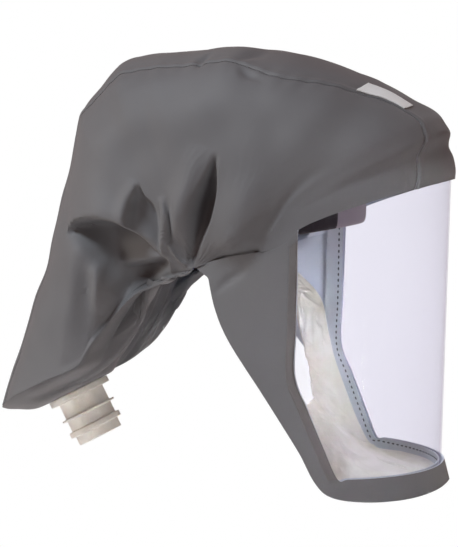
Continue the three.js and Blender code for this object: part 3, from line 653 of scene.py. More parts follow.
def hood_points(cut, line, side, folded):
    """Points on one side of a cut, from their distances from the gather and half widths."""
    away, wide = line.T
    share = away / cut["reach"]
    rise = cut["near_crease"] ** 2 * np.interp(share, CREASE_SHARE, CREASE_RISE)
    drop = np.interp(share, DROP_SHARE, DROP)
    bow = cut["lift"] * np.sin(math.pi * share) - rise - cut["near_brow"] * drop
    f = GATHER_F + cut["df"] * away - cut["dz"] * bow
    z = GATHER_Z + cut["dz"] * away + cut["df"] * bow
    l = wide
    if folded:
        l = clear_of_band(f, wide - fold_depth(f, z), z)
        above = (z - GATHER_Z) * BROW["df"] - (f - GATHER_F) * BROW["dz"] + drop
        near = bell(above, TUCK_WIDE) * tuck_along(away) * (1 - cut["near_crease"])
        l = l - (TUCK_IN_LEFT if side > 0 else TUCK_IN) * near
        f = f + BROW["dz"] * TUCK_DOWN * near
        z = z - BROW["df"] * TUCK_DOWN * near
        sway = PLEAT_SWAY * np.sin(PLEAT_SWAY_TURNS * cut["bearing"])
        pleat = PLEAT_HIGH * np.sin(PLEAT_TURNS * cut["bearing"] + sway)
        l = l + pleat * bell(away, PLEAT_LONG) * smooth(*PLEAT_FROM, away)
        off_crease = (LAST["bearing"] - cut["bearing"]) * away
        l = l + CREASE_RIDGE * bell(off_crease, CREASE_RIDGE_WIDE) * hump(share, *CREASE_RIDGE_ALONG)
    return xyz(f, side * l, z)


def hood_row(cut, side):
    """One side of a cut from the gather to the mid plane, in close steps by the seam."""
    flat = spaced(cut["flat"], np.linspace(0, 1, FLAT_STEPS + 1))
    turn = spaced(cut["turn"], 1 - (1 - np.linspace(0, 1, TURN_STEPS + 1)) ** SEAM_CLUSTER, 0, SEAM_GAP / 2)
    crown = spaced(cut["crown"], np.linspace(0, 1, CROWN_STEPS + 1) ** SEAM_CLUSTER, SEAM_GAP / 2, 0)
    lower = hood_points(cut, np.r_[flat, turn[1:]], side, True)
    return np.r_[lower, hood_points(cut, crown, side, False)]


def grid_quads(rows, columns, flip=False):
    i, j = np.meshgrid(np.arange(rows - 1), np.arange(columns - 1), indexing="ij")
    a = (i * columns + j).ravel()
    b = a + columns
    quads = np.stack([a, b, b + 1, a + 1], 1)
    return quads[:, ::-1] if flip else quads


def grid_normals(grid, flip=False):
    along = np.gradient(grid, axis=0)
    across = np.gradient(grid, axis=1)
    normal = np.cross(along, across)
    size = np.linalg.norm(normal, axis=2, keepdims=True)
    normal /= np.maximum(size, 1e-9)
    return -normal if flip else normal


def swell(points):
    """Height of the slow swells at points in millimetres."""
    x, y, z = np.moveaxis(points, -1, 0) * MM
    height = np.zeros(x.shape)
    for wf, wl, wz, phase, size in SWELLS:
        height += size * np.sin(2 * math.pi * (-wf * y + wl * np.abs(x) + wz * z) + phase)
    return height


def stations():
    """Section positions at even steps along the crown."""
    fine = np.linspace(0, len(SECTIONS) - 1, STATION_STEPS)
    run = run_along(rows_at(SECTIONS, fine)[:, :2])
    return np.interp(np.linspace(0, run[-1], HOOD_ROWS + 1), run, fine)


def seam_lift(grid, side_edge, crown_edge):
    """Rolled edge, groove and puckers of the crown seam between two neighbouring columns of the grid."""
    columns = np.arange(grid.shape[1])
    from_seam = np.linalg.norm(grid - grid[:, side_edge : side_edge + 1], axis=2)
    on_crown = columns >= crown_edge if crown_edge > side_edge else columns <= crown_edge
    welt = WELT_HIGH * bell(from_seam - WELT_AT, WELT_WIDE) * on_crown
    run = run_along(grid[:, side_edge])
    wave = np.sin(2 * math.pi * run / PUCKER_LONG + PUCKER_SWAY * np.sin(run / PUCKER_SWAY_LONG))
    wave *= smooth(PUCKER_LOW, PUCKER_LOW + PUCKER_FADE, grid[:, side_edge, 2])
    pucker = PUCKER_HIGH * wave[:, None] * bell(from_seam, PUCKER_WIDE)
    return welt + pucker - GROOVE_DEPTH * bell(from_seam, GROOVE_WIDE)


def mark_depth(points):
    """Depth of the short creases, which are on the wearer's right."""
    f = -points[..., 1]
    z = points[..., 2]
    depth = np.zeros(f.shape)
    for rows in MARKS.values():
        line = fine_rows(rows, MARK_STEPS)
        gap = np.hypot(f[..., None] - line[:, 0], z[..., None] - line[:, 1])
        near = np.argmin(gap, axis=-1)
        best = np.take_along_axis(gap, near[..., None], -1)[..., 0]
        depth += line[near, 2] * bell(best, line[near, 3])
    return depth * (points[..., 0] < MARK_LIMIT)


def inside_edges(count, still):
    """Shares that grow from 0 at both ends of a number of steps to 1 inside them."""
    steps = np.arange(count)
    return smooth(0, still, steps) * smooth(0, still, steps[::-1])


STATIONS = stations()


def hood_grid():
    cuts = [section(u) for u in STATIONS]
    grid = np.array([np.r_[hood_row(cut, 1), hood_row(cut, -1)[::-1][1:]] for cut in cuts])
    rows, columns = grid.shape[:2]
    slack = np.outer(inside_edges(rows, STILL_ROWS), inside_edges(columns, STILL_COLUMNS))
    seam = FLAT_STEPS + TURN_STEPS
    far_seam = columns - 1 - seam
    lift = swell(grid) * slack - mark_depth(grid)
    lift += seam_lift(grid, seam, seam + 1) + seam_lift(grid, far_seam, far_seam - 1)
    return grid + grid_normals(grid) * lift[:, :, None]


# Meshes
def mesh_piece(name, points, faces, materials, slots=None, uv=None, sharp=50):
    mesh = bpy.data.meshes.new(name)
    mesh.from_pydata((np.asarray(points) * MM).tolist(), [], [list(map(int, face)) for face in faces])
    for material in materials:
        mesh.materials.append(material)
    mesh.polygons.foreach_set("use_smooth", np.ones(len(faces), bool))
    if slots is not None:
        mesh.polygons.foreach_set("material_index", np.asarray(slots, np.int32))
    if uv is not None:
        loops = np.empty(len(mesh.loops), np.int32)
        mesh.loops.foreach_get("vertex_index", loops)
        layer = mesh.uv_layers.new(name="cloth")
        layer.data.foreach_set("uv", (np.asarray(uv)[loops] * MM).ravel())
    mesh.update()
    mesh.set_sharp_from_angle(angle=math.radians(sharp))
    piece = bpy.data.objects.new(name, mesh)
    bpy.context.scene.collection.objects.link(piece)
    return piece


def closed_wall(name, points, quads, normals, thick, materials, uv, rim_slot=0):
    """A sheet made into a closed wall: points are its outer face, and the wall lies inside it."""
    count = len(points)
    inner = points - normals * thick
    edges = {}
    for face in quads:
        for a, b in zip(face, np.roll(face, -1)):
            edges[(int(a), int(b))] = True
    rim = [(b, a, a + count, b + count) for a, b in edges if (b, a) not in edges]
    faces = [tuple(f) for f in quads] + [tuple(f[::-1] + count) for f in quads] + rim
    slots = [0] * len(quads) + [min(1, len(materials) - 1)] * len(quads) + [rim_slot] * len(rim)
    used = np.unique(np.array([v for f in faces for v in f]))
    place = np.full(2 * count, -1)
    place[used] = np.arange(len(used))
    faces = [tuple(place[list(f)]) for f in faces]
    both = np.r_[points, inner][used]
    return mesh_piece(name, both, faces, materials, slots, np.r_[uv, uv][used])


def grid_wall(name, grid, thick, materials, flip=False, normals=None, rim_slot=0):
    rows, columns = grid.shape[:2]
    if normals is None:
        normals = grid_normals(grid, flip)
    along = np.r_[[np.zeros(columns)], np.cumsum(np.linalg.norm(np.diff(grid, axis=0), axis=2), axis=0)]
    across = np.c_[np.zeros(rows), np.cumsum(np.linalg.norm(np.diff(grid, axis=1), axis=2), axis=1)]
    uv = np.stack([along.mean(axis=1)[:, None] + 0 * across, across], -1)
    quads = grid_quads(rows, columns, flip)
    points = grid.reshape(-1, 3)
    ways = normals.reshape(-1, 3)
    return closed_wall(name, points, quads, ways, thick, materials, uv.reshape(-1, 2), rim_slot)


def dress(piece, node):
    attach(piece, BODY)
    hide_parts(node)
    return piece


# Cloths: darker and lighter colour, thread width in millimetres, strength of the weave, roughness, sheen,
# strength of the faint creases, and scale of the patches of colour
CLOTHS = {
    "hood_outside": ((0.118, 0.1255, 0.134), (0.141, 0.15, 0.159), 0.25, 0.25, 0.62, 0.15, 0.25, 9.0),
    "hood_inside": ((0.62, 0.72, 0.82), (0.71, 0.8, 0.89), 0.25, 0.2, 0.6, 0.15, 0.25, 9.0),
    "binding_cloth": ((0.105, 0.105, 0.107), (0.128, 0.128, 0.13), 0.3, 0.4, 0.7, 0.15, 0.25, 9.0),
    "tape_cloth": ((0.52, 0.6, 0.65), (0.6, 0.67, 0.71), 0.3, 0.4, 0.65, 0.15, 0.25, 9.0),
    "seal_cloth": ((0.68, 0.7, 0.58), (0.92, 0.94, 0.89), 0.22, 0.3, 0.7, 0.15, 0.6, 24.0),
    "band_cloth": ((0.01, 0.008, 0.01), (0.018, 0.015, 0.018), 0.35, 0.6, 0.85, 0.2, 0.25, 9.0),
    # The pad cloth is a lighter copy of the band cloth: painted light, standing for the light that falls on
    # the band's front pad through the visor
    "pad_cloth_painted_light": ((0.29, 0.27, 0.3), (0.37, 0.345, 0.38), 0.35, 0.6, 0.85, 0.3, 0.25, 9.0),
    "thread": ((0.03, 0.04, 0.055), (0.06, 0.075, 0.09), 0.15, 0.5, 0.6, 0.15, 0.25, 9.0),
    "label_cloth": ((0.87, 0.95, 0.96), (0.91, 0.98, 0.985), 0.2, 0.4, 0.6, 0.15, 0.25, 9.0),
}
WAVE_TURN = 20.0
WEAVE_DEPTH = 0.0002
CREASES_SCALE = 38.0
CREASES_DEPTH = 0.0012
ROUGH_SCALE = 30.0
ROUGH_SPREAD = 0.07
SHADES_AT = (0.3, 0.7)
SHEEN_ROUGH = 0.5
CLOTH_GLOSS = 0.35

# Visor film: darker and lighter colour of its gloss and its tint, roughness, and gloss face on and edge on
FILM_SHADES = ((0.46, 0.44, 0.56), (0.54, 0.52, 0.64))
FILM_TINTS = ((0.952, 0.947, 0.976), (0.958, 0.954, 0.98))
FILM_PATCHES = 6.0
FILM_ROUGH = (0.03, 0.08)
FILM_ROUGH_SCALE = 14.0
FILM_BLEND = 0.1
FILM_GLOSS = (0.01, 0.35)

# Plastic of the connector: colours, roughness, grain, and the light inside it
PLASTIC_SHADES = ((0.735, 0.74, 0.7), (0.79, 0.8, 0.76))
PLASTIC_PATCHES = 30.0
PLASTIC_ROUGH = (0.35, 0.5)
PLASTIC_ROUGH_SCALE = 60.0
GRAIN_SCALE = 900.0
GRAIN_STRENGTH = 0.12
GRAIN_DEPTH = 0.0001
PLASTIC_GLOW = 0.35
PLASTIC_GLOW_REACH = (0.006, 0.005, 0.004)


# Materials
class Nodes:
    """A material's node tree, with short ways to add nodes and links."""

    def __init__(self, name):
        self.material = bpy.data.materials.new(name)
        self.material.use_nodes = True
        self.tree = self.material.node_tree
        self.shader = self.tree.nodes["Principled BSDF"]

    def fill(self, node, inputs):
        for key, value in inputs.items():
            if isinstance(value, bpy.types.NodeSocket):
                self.tree.links.new(value, node.inputs[key])
            else:
                node.inputs[key].default_value = value

    def add(self, kind, inputs, **settings):
        node = self.tree.nodes.new(kind)
        for key, value in settings.items():
            setattr(node, key, value)
        self.fill(node, inputs)
        return node.outputs

    def set(self, **inputs):
        self.fill(self.shader, {key.replace("_", " "): value for key, value in inputs.items()})

    def noise(self, scale, detail):
        place = self.add("ShaderNodeTexCoord", {})["Object"]
        return self.add("ShaderNodeTexNoise", {"Vector": place, "Scale": scale, "Detail": detail})["Fac"]

    def spread(self, value, low, high):
        return self.add("ShaderNodeMapRange", {"Value": value, "To Min": low, "To Max": high})["Result"]

    def bump(self, **inputs):
        return self.add("ShaderNodeBump", inputs)["Normal"]


def set_ramp(node, positions, colours):
    for end, position, colour in zip(node.color_ramp.elements, positions, colours):
        end.position = position
        end.color = (*colour, 1)


def shades(nodes, low, high, scale):
    """A colour that drifts between two shades."""
    colour = nodes.add("ShaderNodeValToRGB", {"Fac": nodes.noise(scale, 3.0)})["Color"]
    set_ramp(colour.node, SHADES_AT, (low, high))
    return colour


def weave(nodes, thread, strength, crumple):
    """Bump of a plain weave with threads of that width in millimetres, over faint creases."""
    place = nodes.add("ShaderNodeTexCoord", {})["UV"]
    lines = {"Vector": place, "Scale": 2 * math.pi / (WAVE_TURN * 2 * thread * MM)}
    warp = nodes.add("ShaderNodeTexWave", lines, bands_direction="X")["Fac"]
    weft = nodes.add("ShaderNodeTexWave", lines, bands_direction="Y")["Fac"]
    over = nodes.add("ShaderNodeMath", {0: warp, 1: weft}, operation="MULTIPLY")[0]
    creases = nodes.noise(CREASES_SCALE, 4.0)
    slow = nodes.bump(Height=creases, Strength=crumple, Distance=CREASES_DEPTH)
    return nodes.bump(Height=over, Normal=slow, Strength=strength, Distance=WEAVE_DEPTH)


def cloth_material(name, low, high, thread, strength, roughness, sheen, crumple, patches):
    nodes = Nodes(name)
    uneven = nodes.noise(ROUGH_SCALE, 2.0)
    nodes.set(
        Base_Color=shades(nodes, low, high, patches),
        Roughness=nodes.spread(uneven, roughness - ROUGH_SPREAD, roughness + ROUGH_SPREAD),
        Normal=weave(nodes, thread, strength, crumple),
        Sheen_Weight=sheen,
        Sheen_Roughness=SHEEN_ROUGH,
        Specular_IOR_Level=CLOTH_GLOSS,
    )
    return nodes.material


def visor_material():
    """Clear film: what is behind it shows with a faint tint, and it has gloss where it is seen edge on."""
    nodes = Nodes("visor_film")
    edge = nodes.add("ShaderNodeLayerWeight", {"Blend": FILM_BLEND})["Facing"]
    gloss = nodes.spread(edge, *FILM_GLOSS)
    nodes.set(
        Base_Color=shades(nodes, *FILM_SHADES, FILM_PATCHES),
        Roughness=nodes.spread(nodes.noise(FILM_ROUGH_SCALE, 2.0), *FILM_ROUGH),
    )
    tint = shades(nodes, *FILM_TINTS, FILM_PATCHES)
    clear = nodes.add("ShaderNodeBsdfTransparent", {"Color": tint})[0]
    film = nodes.add("ShaderNodeMixShader", {0: gloss, 1: clear, 2: nodes.shader.outputs[0]})[0]
    nodes.tree.links.new(film, nodes.tree.nodes["Material Output"].inputs["Surface"])
    return nodes.material


def connector_material():
    nodes = Nodes("connector_plastic")
    grain = nodes.noise(GRAIN_SCALE, 2.0)
    nodes.set(
        Base_Color=shades(nodes, *PLASTIC_SHADES, PLASTIC_PATCHES),
        Roughness=nodes.spread(nodes.noise(PLASTIC_ROUGH_SCALE, 2.0), *PLASTIC_ROUGH),
        Normal=nodes.bump(Height=grain, Strength=GRAIN_STRENGTH, Distance=GRAIN_DEPTH),
        Subsurface_Weight=PLASTIC_GLOW,
        Subsurface_Radius=PLASTIC_GLOW_REACH,
    )
    return nodes.material


looks = {name: cloth_material(name, *values) for name, values in CLOTHS.items()}
visor_film = visor_material()
connector_plastic = connector_material()


# Hood panels
HOOD = hood_grid()
HOOD_LOOKS = [looks["hood_outside"], looks["hood_inside"]]
SIDE_END = FLAT_STEPS + TURN_STEPS + 1
CROWN_END = SIDE_END + 2 * CROWN_STEPS + 1


def wall_ways():
    """Ways in which the hood's walls are thick: sideways where folds are deep, else along the normal."""
    ways = grid_normals(HOOD)
    column = np.arange(HOOD.shape[1])
    flat = 1 - smooth(SIDEWAYS_FROM, SIDEWAYS_TO, np.minimum(column, column[::-1]))
    sideways = np.zeros_like(ways)
    sideways[..., 0] = np.where(column < len(column) / 2, 1, -1)
    return unit(between(ways, sideways, flat[:, None]))


WALL_WAYS = wall_ways()


def hood_piece(name, node, first, last):
    wall = grid_wall(name, HOOD[:, first:last], CLOTH, HOOD_LOOKS, normals=WALL_WAYS[:, first:last])
    return dress(wall, node)


side_left = hood_piece("side_cloth_left", "side_panel_left", 0, SIDE_END)
crown = hood_piece("crown_cloth", "crown_panel", SIDE_END, CROWN_END)
side_right = hood_piece("side_cloth_right", "side_panel_right", CROWN_END, HOOD.shape[1])


# Plan curve of the visor and cheeks by arc length from the front
def plan_curve():
    turn = np.linspace(0, math.pi / 2, PLAN_FRONT_STEPS + 1)
    k = np.linspace(0, 1, PLAN_CHEEK_STEPS + 1)[1:]
    back = GATHER_F - CHEEK_BACK
    inner = GATHER_L - CHIN_OUT
    f = np.r_[VISOR_F + VISOR_LONG * np.cos(turn), between(VISOR_F, back, k)]
    l = np.r_[VISOR_WIDE * np.sin(turn), between(inner, VISOR_WIDE, np.cos(math.pi / 2 * k))]
    return run_along(np.stack([f, l], 1)), f, l


PLAN_ARC, PLAN_F, PLAN_L = plan_curve()


def arc_at(f, z):
    """Arc length of the plan curve at points given by f and z."""
    return np.interp(-(f - LEAN * (z - LEAN_Z)), -PLAN_F, PLAN_ARC)


def on_plan(arc, z, out):
    """A point of the visor cylinder at a signed arc length, moved outward."""
    side = np.where(arc < 0, -1.0, 1.0)
    a = np.abs(arc)
    low = np.maximum(a - PLAN_STEP, 0)
    df = np.interp(a + PLAN_STEP, PLAN_ARC, PLAN_F) - np.interp(low, PLAN_ARC, PLAN_F)
    dl = np.interp(a + PLAN_STEP, PLAN_ARC, PLAN_L) - np.interp(low, PLAN_ARC, PLAN_L)
    df = np.where(a < PLAN_STEP, 0, df)
    size = np.hypot(df, dl)
    f = np.interp(a, PLAN_ARC, PLAN_F) + dl / size * out + LEAN * (z - LEAN_Z)
    return xyz(f, side * (np.interp(a, PLAN_ARC, PLAN_L) - df / size * out), z)


# Chin panel
def chin_arcs():
    rows = []
    for edge_f, edge_z, hem_f, hem_z, flare in CHIN:
        rows.append([arc_at(edge_f, edge_z), edge_z, arc_at(hem_f, hem_z), hem_z, flare])
    rows[-1][0] = 0
    rows[-1][2] = 0
    return np.array(rows, float)


CHIN_ARCS = chin_arcs()
CHIN_LAST = len(CHIN) - 1


def cheek_away(share):
    """Distance from the gather at shares of the way back to it along the cheek from the visor's corner."""
    near, far = BROW["flat"][[0, -1], 0]
    return between(far, near, share)


def cheek_seam(share):
    """The side panel's lower edge on the left, from the visor's corner at share 0 to the gather at 1."""
    away = cheek_away(share)
    wide = np.interp(away, BROW["flat"][:, 0], BROW["flat"][:, 1])
    return hood_points(BROW, np.stack([away, wide], 1), 1, False)


def chin_point(t, share, out, flared=1.0):
    """Points at rows t of the chin table and at shares of the way from the visor to the hem."""
    rows = rows_at(CHIN_ARCS, np.ravel(t))
    edge, edge_z, hem, hem_z, flare = rows.T.reshape(-1, *np.shape(t))
    arc = np.maximum(between(edge, hem, share), 0)
    return on_plan(arc, between(edge_z, hem_z, share), out + flared * flare * share)


def chin_surface(t, share, lift=0.0):
    """The outer face of the chin panel on the left, drawn to the side panel's edge at its upper end."""
    t, share = np.broadcast_arrays(np.asarray(t, float), np.asarray(share, float))
    seam = cheek_seam(share.ravel()).reshape(*share.shape, 3)
    shift = seam - chin_point(np.zeros_like(t), share, CHIN_OUT)
    drawn = 1 - smooth(0, between(CHEEK_BLEND, HEM_BLEND, share**2), t)
    points = chin_point(t, share, CHIN_OUT + lift) + shift * drawn[..., None]
    stand = TUCK_STAND * (1 - smooth(0, TUCK_FADE, t)) * tuck_along(cheek_away(share))
    f = -points[..., 1]
    behind = fold_depth(f, points[..., 2], CHIN_SHELVES)
    swollen = fold_depth(f, points[..., 2])
    points[..., 0] += stand - behind - (swollen - behind) * smooth(SWELL_JOIN_FROM, SWELL_JOIN_TO, f)
    return points


def mirrored(grid):
    other = grid.copy()
    other[..., 0] *= -1
    return other


def with_mirror(half):
    """Both halves of a strip that crosses the mid plane, from its left half."""
    return np.concatenate([half, mirrored(half[:-1][::-1])])


def chin_piece():
    t = np.linspace(0, CHIN_LAST, CHIN_LAST * CHIN_STEPS + 1)[:, None]
    share = np.linspace(0, 1, CHIN_COLUMNS)[None, :]
    half = chin_surface(t, share)
    half[-1, :, 0] = 0
    hidden = (1 - tuck_along(cheek_away(share[0]))) ** TUCK_HIDDEN
    tucked = []
    for up, inward in TUCK_ROWS:
        tucked.append(half[0] + xyz(-BROW["dz"] * up * hidden, -inward, BROW["df"] * up * hidden))
    half = np.concatenate([np.array(tucked), half])
    return grid_wall("chin_cloth", with_mirror(half), CLOTH, HOOD_LOOKS, rim_slot=1)


chin = dress(chin_piece(), "chin_panel")


# Visor
def visor_piece():
    upper = np.r_[BROW["turn"], BROW["crown"][1:]]
    line = hood_points(BROW, upper, 1, False)
    arcs = arc_at(-line[:, 1] - VISOR_INSET, line[:, 2])
    arcs[-1] = 0
    order = np.argsort(arcs)
    furthest = float(arc_at(VISOR_BACK, LEAN_Z))
    arc = np.linspace(furthest, -furthest, VISOR_COLUMNS)
    f = np.interp(np.abs(arc), PLAN_ARC, PLAN_F)
    bottom = np.array(VISOR_BOTTOM, float)
    low = np.interp(f, bottom[:, 0], bottom[:, 1])
    high = np.interp(np.abs(arc), arcs[order], line[order, 2]) + VISOR_TUCK
    up = np.linspace(0, 1, VISOR_ROWS)[None, :]
    heights = between(low[:, None], high[:, None], up)
    grid = on_plan(arc[:, None] + 0 * heights, heights, VISOR_THICK / 2)
    return grid_wall("visor_sheet", grid, VISOR_THICK, [visor_film], flip=True)


dress(visor_piece(), "visor")


# Bindings, tape and stitches
def chin_width(t):
    return np.linalg.norm(chin_point(t, np.zeros_like(t), 0) - chin_point(t, np.ones_like(t), 0), axis=-1)


def left_and_right(name, node, grid, thick, material):
    """Two walls in place of the left and the right node, from the grid of the left one."""
    pair = []
    for side in ("left", "right"):
        flip = side == "right"
        wall = grid_wall(f"{name}_{side}", mirrored(grid) if flip else grid, thick, [material], flip)
        pair.append(dress(wall, f"{node}_{side}"))
    return pair


def binding_grid():
    t = np.linspace(BINDING_FROM, BINDING_TO, BINDING_STEPS)[:, None]
    across = np.linspace(0, 1, BINDING_COLUMNS)[None, :]
    share = across * BINDING_WIDTH / chin_width(t)
    crowned = BINDING_RAISE * np.sqrt(np.maximum(1 - (2 * across - 1) ** BINDING_POWER, BINDING_EDGE))
    return chin_surface(t + 0 * share, share, crowned + 0 * share)


binding_left, binding_right = left_and_right(
    "binding_strip", "visor_binding", binding_grid(), TRIM, looks["binding_cloth"]
)


def tape_wide(t):
    return between(TAPE_WIDTH, TAPE_FRONT, smooth(*TAPE_NARROWS, t))


def tape_piece():
    t = np.linspace(TAPE_FROM, CHIN_LAST, TAPE_STEPS)[:, None]
    share = (TAPE_INSET + np.linspace(0, 1, TAPE_COLUMNS)[None, :] * tape_wide(t)) / chin_width(t)
    half = chin_point(t + 0 * share, share, TAPE_IN, 0.0)
    half[-1, :, 0] = 0
    return grid_wall("visor_tape_strip", with_mirror(half), TRIM, [looks["tape_cloth"]])


tape = dress(tape_piece(), "visor_tape")


REVERSED = [0, 3, 2, 1]


def ring_faces(rings, count, joined):
    """Faces between neighbouring rings of points, and from the last to the first if they are joined."""
    ring, step = np.meshgrid(np.arange(rings if joined else rings - 1), np.arange(count), indexing="ij")
    here = ring * count
    after = (ring + 1) % rings * count
    beside = (step + 1) % count
    return np.stack([here + step, here + beside, after + beside, after + step], -1).reshape(-1, 4)


def bead(centre, way, out):
    """Points of a stitch: a small rounded bead of thread along way, half sunk into the cloth."""
    around = circle(BEAD_AROUND)
    ring = np.cos(around)[:, None] * out + np.sin(around)[:, None] * np.cross(way, out)
    points = []
    for along in BEAD_RINGS:
        size = math.sqrt(max(1 - (2 * along) ** BEAD_POWER, BEAD_END)) * STITCH_THICK / 2
        points.append(centre + way * along * STITCH_LONG + ring * size)
    return np.concatenate(points)


def bead_faces():
    last = (len(BEAD_RINGS) - 1) * BEAD_AROUND
    sides = ring_faces(len(BEAD_RINGS), BEAD_AROUND, False)
    return [*sides, np.arange(BEAD_AROUND)[::-1], last + np.arange(BEAD_AROUND)]


def tape_stitches():
    """Stitches at an even pitch along the tape's inner face."""
    t = np.linspace(STITCH_FROM, CHIN_LAST, STITCH_STEPS)
    share = np.minimum(STITCH_INSET, tape_wide(t) * STITCH_MOST) / chin_width(t)
    inner = chin_point(t, share, TAPE_IN - TRIM, 0.0)
    outer = chin_point(t, share, TAPE_IN, 0.0)
    inner[-1, 0] = 0
    line = with_mirror(inner)
    run = run_along(line)
    out = with_mirror(inner - outer)
    one = bead_faces()
    points = []
    faces = []

    def at(length, values):
        return np.array([np.interp(length, run, column) for column in values.T])

    for k, s in enumerate(np.arange(STITCH_PITCH / 2, run[-1], STITCH_PITCH)):
        way = unit(at(s + STITCH_REACH, line) - at(s - STITCH_REACH, line))
        up = at(s, out)
        points.append(bead(at(s, line), way, unit(up - way * (up @ way))))
        faces += [face + k * len(points[0]) for face in one]
    return mesh_piece("tape_stitches", np.concatenate(points), faces, [looks["thread"]], sharp=60)


stitches = tape_stitches()
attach(stitches, BODY)


# Face seal
def seal_piece():
    last = len(SEAL) - 1
    t = np.linspace(0, last, last * SEAL_ROWS + 1)
    sewn_f, sewn_z, free_f, free_l, free_z = rows_at(SEAL, t).T
    arc = np.maximum(arc_at(sewn_f, sewn_z), 0)
    arc[-1] = 0
    free_l[-1] = 0
    sewn = on_plan(arc, sewn_z, SEAL_IN)
    free = xyz(free_f, np.maximum(free_l, 0), free_z)
    across = np.linspace(0, 1, SEAL_COLUMNS)[None, :]
    grid = between(sewn[:, None], free[:, None], across[..., None])
    grid[..., 2] -= SEAL_SAG * np.sin(math.pi * across) * smooth(*SEAL_SAG_ROWS, t)[:, None]
    grid = with_mirror(grid)
    along = np.linspace(-1, 1, len(grid))[:, None] * last
    sway = along + RIPPLE_SWAY * np.sin(RIPPLE_SWAY_ACROSS * across + RIPPLE_SWAY_ALONG * along)
    ripple = np.zeros(grid.shape[:2])
    for high, waves_along, waves_across, phase, power in SEAL_RIPPLES:
        wave = np.abs(np.sin(waves_along * sway + waves_across * across + phase)) ** power
        ripple += high * (wave - RIPPLE_MEAN)
    ripple *= smooth(0, RIPPLE_FROM, across) * (1 - RIPPLE_FREE_CALM * smooth(RIPPLE_FREE, 1, across))
    grid += grid_normals(grid) * ripple[..., None]
    return grid_wall("face_seal_cloth", grid, TRIM, [looks["seal_cloth"]])


seal = dress(seal_piece(), "face_seal")


# Underside of the duct
AXIS = xyz(math.sin(CONNECTOR_TILT), 0.0, -math.cos(CONNECTOR_TILT))
TOP = xyz(CONNECTOR_F, 0.0, CONNECTOR_Z)


def floor_grid():
    """The duct's underside, from the lower edge of the sides to the nape."""
    below = xyz(-LAST["dz"], 0.0, LAST["df"])
    line = np.r_[LAST["flat"], LAST["turn"][1:], LAST["crown"][1:]]
    share = np.linspace(0, 1, FLOOR_COLUMNS // 2 + 1)
    start = hood_points(LAST, spaced(line, share), 1, True) + below * CREASE_GAP
    turn = math.pi / 2 * (1 - share)
    back = np.cos(turn) ** NAPE_POWER
    nape_f = between(NAPE_END_F, NAPE_MID_F, back)
    end = xyz(nape_f, GATHER_L * np.sin(turn), between(NAPE_END_Z, NAPE_MID_Z, back))
    down = np.linspace(0, 1, FLOOR_ROWS + 1)[None, :]
    grid = between(start[:, None], end[:, None], down[..., None])
    grid[..., 0] *= 1 - FLOOR_WAIST * hump(down, *WAIST_DOWN) * hump(share, *WAIST_ALONG)[:, None]
    bulge = FLOOR_BULGE * smooth(*FLOOR_BULGE_ALONG, share)
    pleats = np.zeros(len(share))
    for high, waves, phase, grows_from, grows_to in FLOOR_PLEATS:
        pleats += high * np.sin(waves * share + phase) * smooth(grows_from, grows_to, share)
    pleats = (pleats * smooth(*FLOOR_PLEATS_ALONG, share))[:, None] * smooth(*FLOOR_PLEATS_DOWN, down)
    lower = bulge[:, None] * np.sin(math.pi * down**FLOOR_BULGE_POWER) + pleats
    grid = grid + below * lower[..., None]
    grid = with_mirror(grid)
    offset = grid - (TOP - AXIS * FLANGE_GAP)
    rise = offset @ AXIS
    aside = np.linalg.norm(offset - rise[..., None] * AXIS, axis=2)
    grid -= AXIS * (rise * (1 - smooth(FLOOR_FLAT, FLOOR_BLEND, aside)))[..., None]
    return grid


def floor_cloth():
    """The underside with the connector's hole, whose rim is drawn to a circle."""
    grid = floor_grid()
    rows, columns = grid.shape[:2]
    normals = grid_normals(grid, True).reshape(-1, 3)
    points = grid.reshape(-1, 3)
    quads = grid_quads(rows, columns, True)
    offset = points - TOP
    radial = offset - (offset @ AXIS)[:, None] * AXIS
    aside = np.linalg.norm(radial, axis=1)
    keep = np.all(aside[quads] > CONNECTOR_HOLE - HOLE_SPARE, axis=1)
    rim = np.zeros(len(points), bool)
    rim[np.unique(quads[~keep])] = True
    rim &= aside > CONNECTOR_HOLE - HOLE_SPARE
    points = points.copy()
    points[rim] += radial[rim] * (CONNECTOR_HOLE / aside[rim] - 1)[:, None]
    cloth = [looks["hood_outside"]]
    return closed_wall("duct_floor_cloth", points, quads[keep], normals, CLOTH, cloth, points[:, :2])


floor_panel = dress(floor_cloth(), "duct_floor")


# Hose connector
def rounded_profile(corners, radius):
    """A closed profile with its corners rounded."""
    corners = np.array(corners, float)
    out = []
    for i, corner in enumerate(corners):
        before = corners[i - 1] - corner
        after = corners[(i + 1) % len(corners)] - corner
        long_before = np.linalg.norm(before)
        long_after = np.linalg.norm(after)
        cut = min(radius, ROUND_MOST * long_before, ROUND_MOST * long_after)
        a = corner + before / long_before * cut
        b = corner + after / long_after * cut
        for k in np.linspace(0, 1, ROUND_STEPS + 1):
            out.append((1 - k) ** 2 * a + 2 * k * (1 - k) * corner + k * k * b)
    return np.array(out)


def connector_piece():
    corners = [(CONNECTOR_BORE, CONNECTOR[0][1])] + CONNECTOR + [(CONNECTOR_BORE, CONNECTOR[-1][1])]
    profile = rounded_profile(corners, CONNECTOR_ROUND)
    around = circle(CONNECTOR_STEPS)
    aside = np.array([1.0, 0, 0])
    out = np.cos(around)[:, None] * aside + np.sin(around)[:, None] * np.cross(AXIS, aside)
    points = TOP + out[:, None] * profile[None, :, :1] + AXIS * profile[None, :, 1:]
    faces = ring_faces(len(around), len(profile), True)[:, REVERSED]
    return mesh_piece("hose_connector_neck", points.reshape(-1, 3), faces, [connector_plastic], sharp=40)


dress(connector_piece(), "hose_connector")


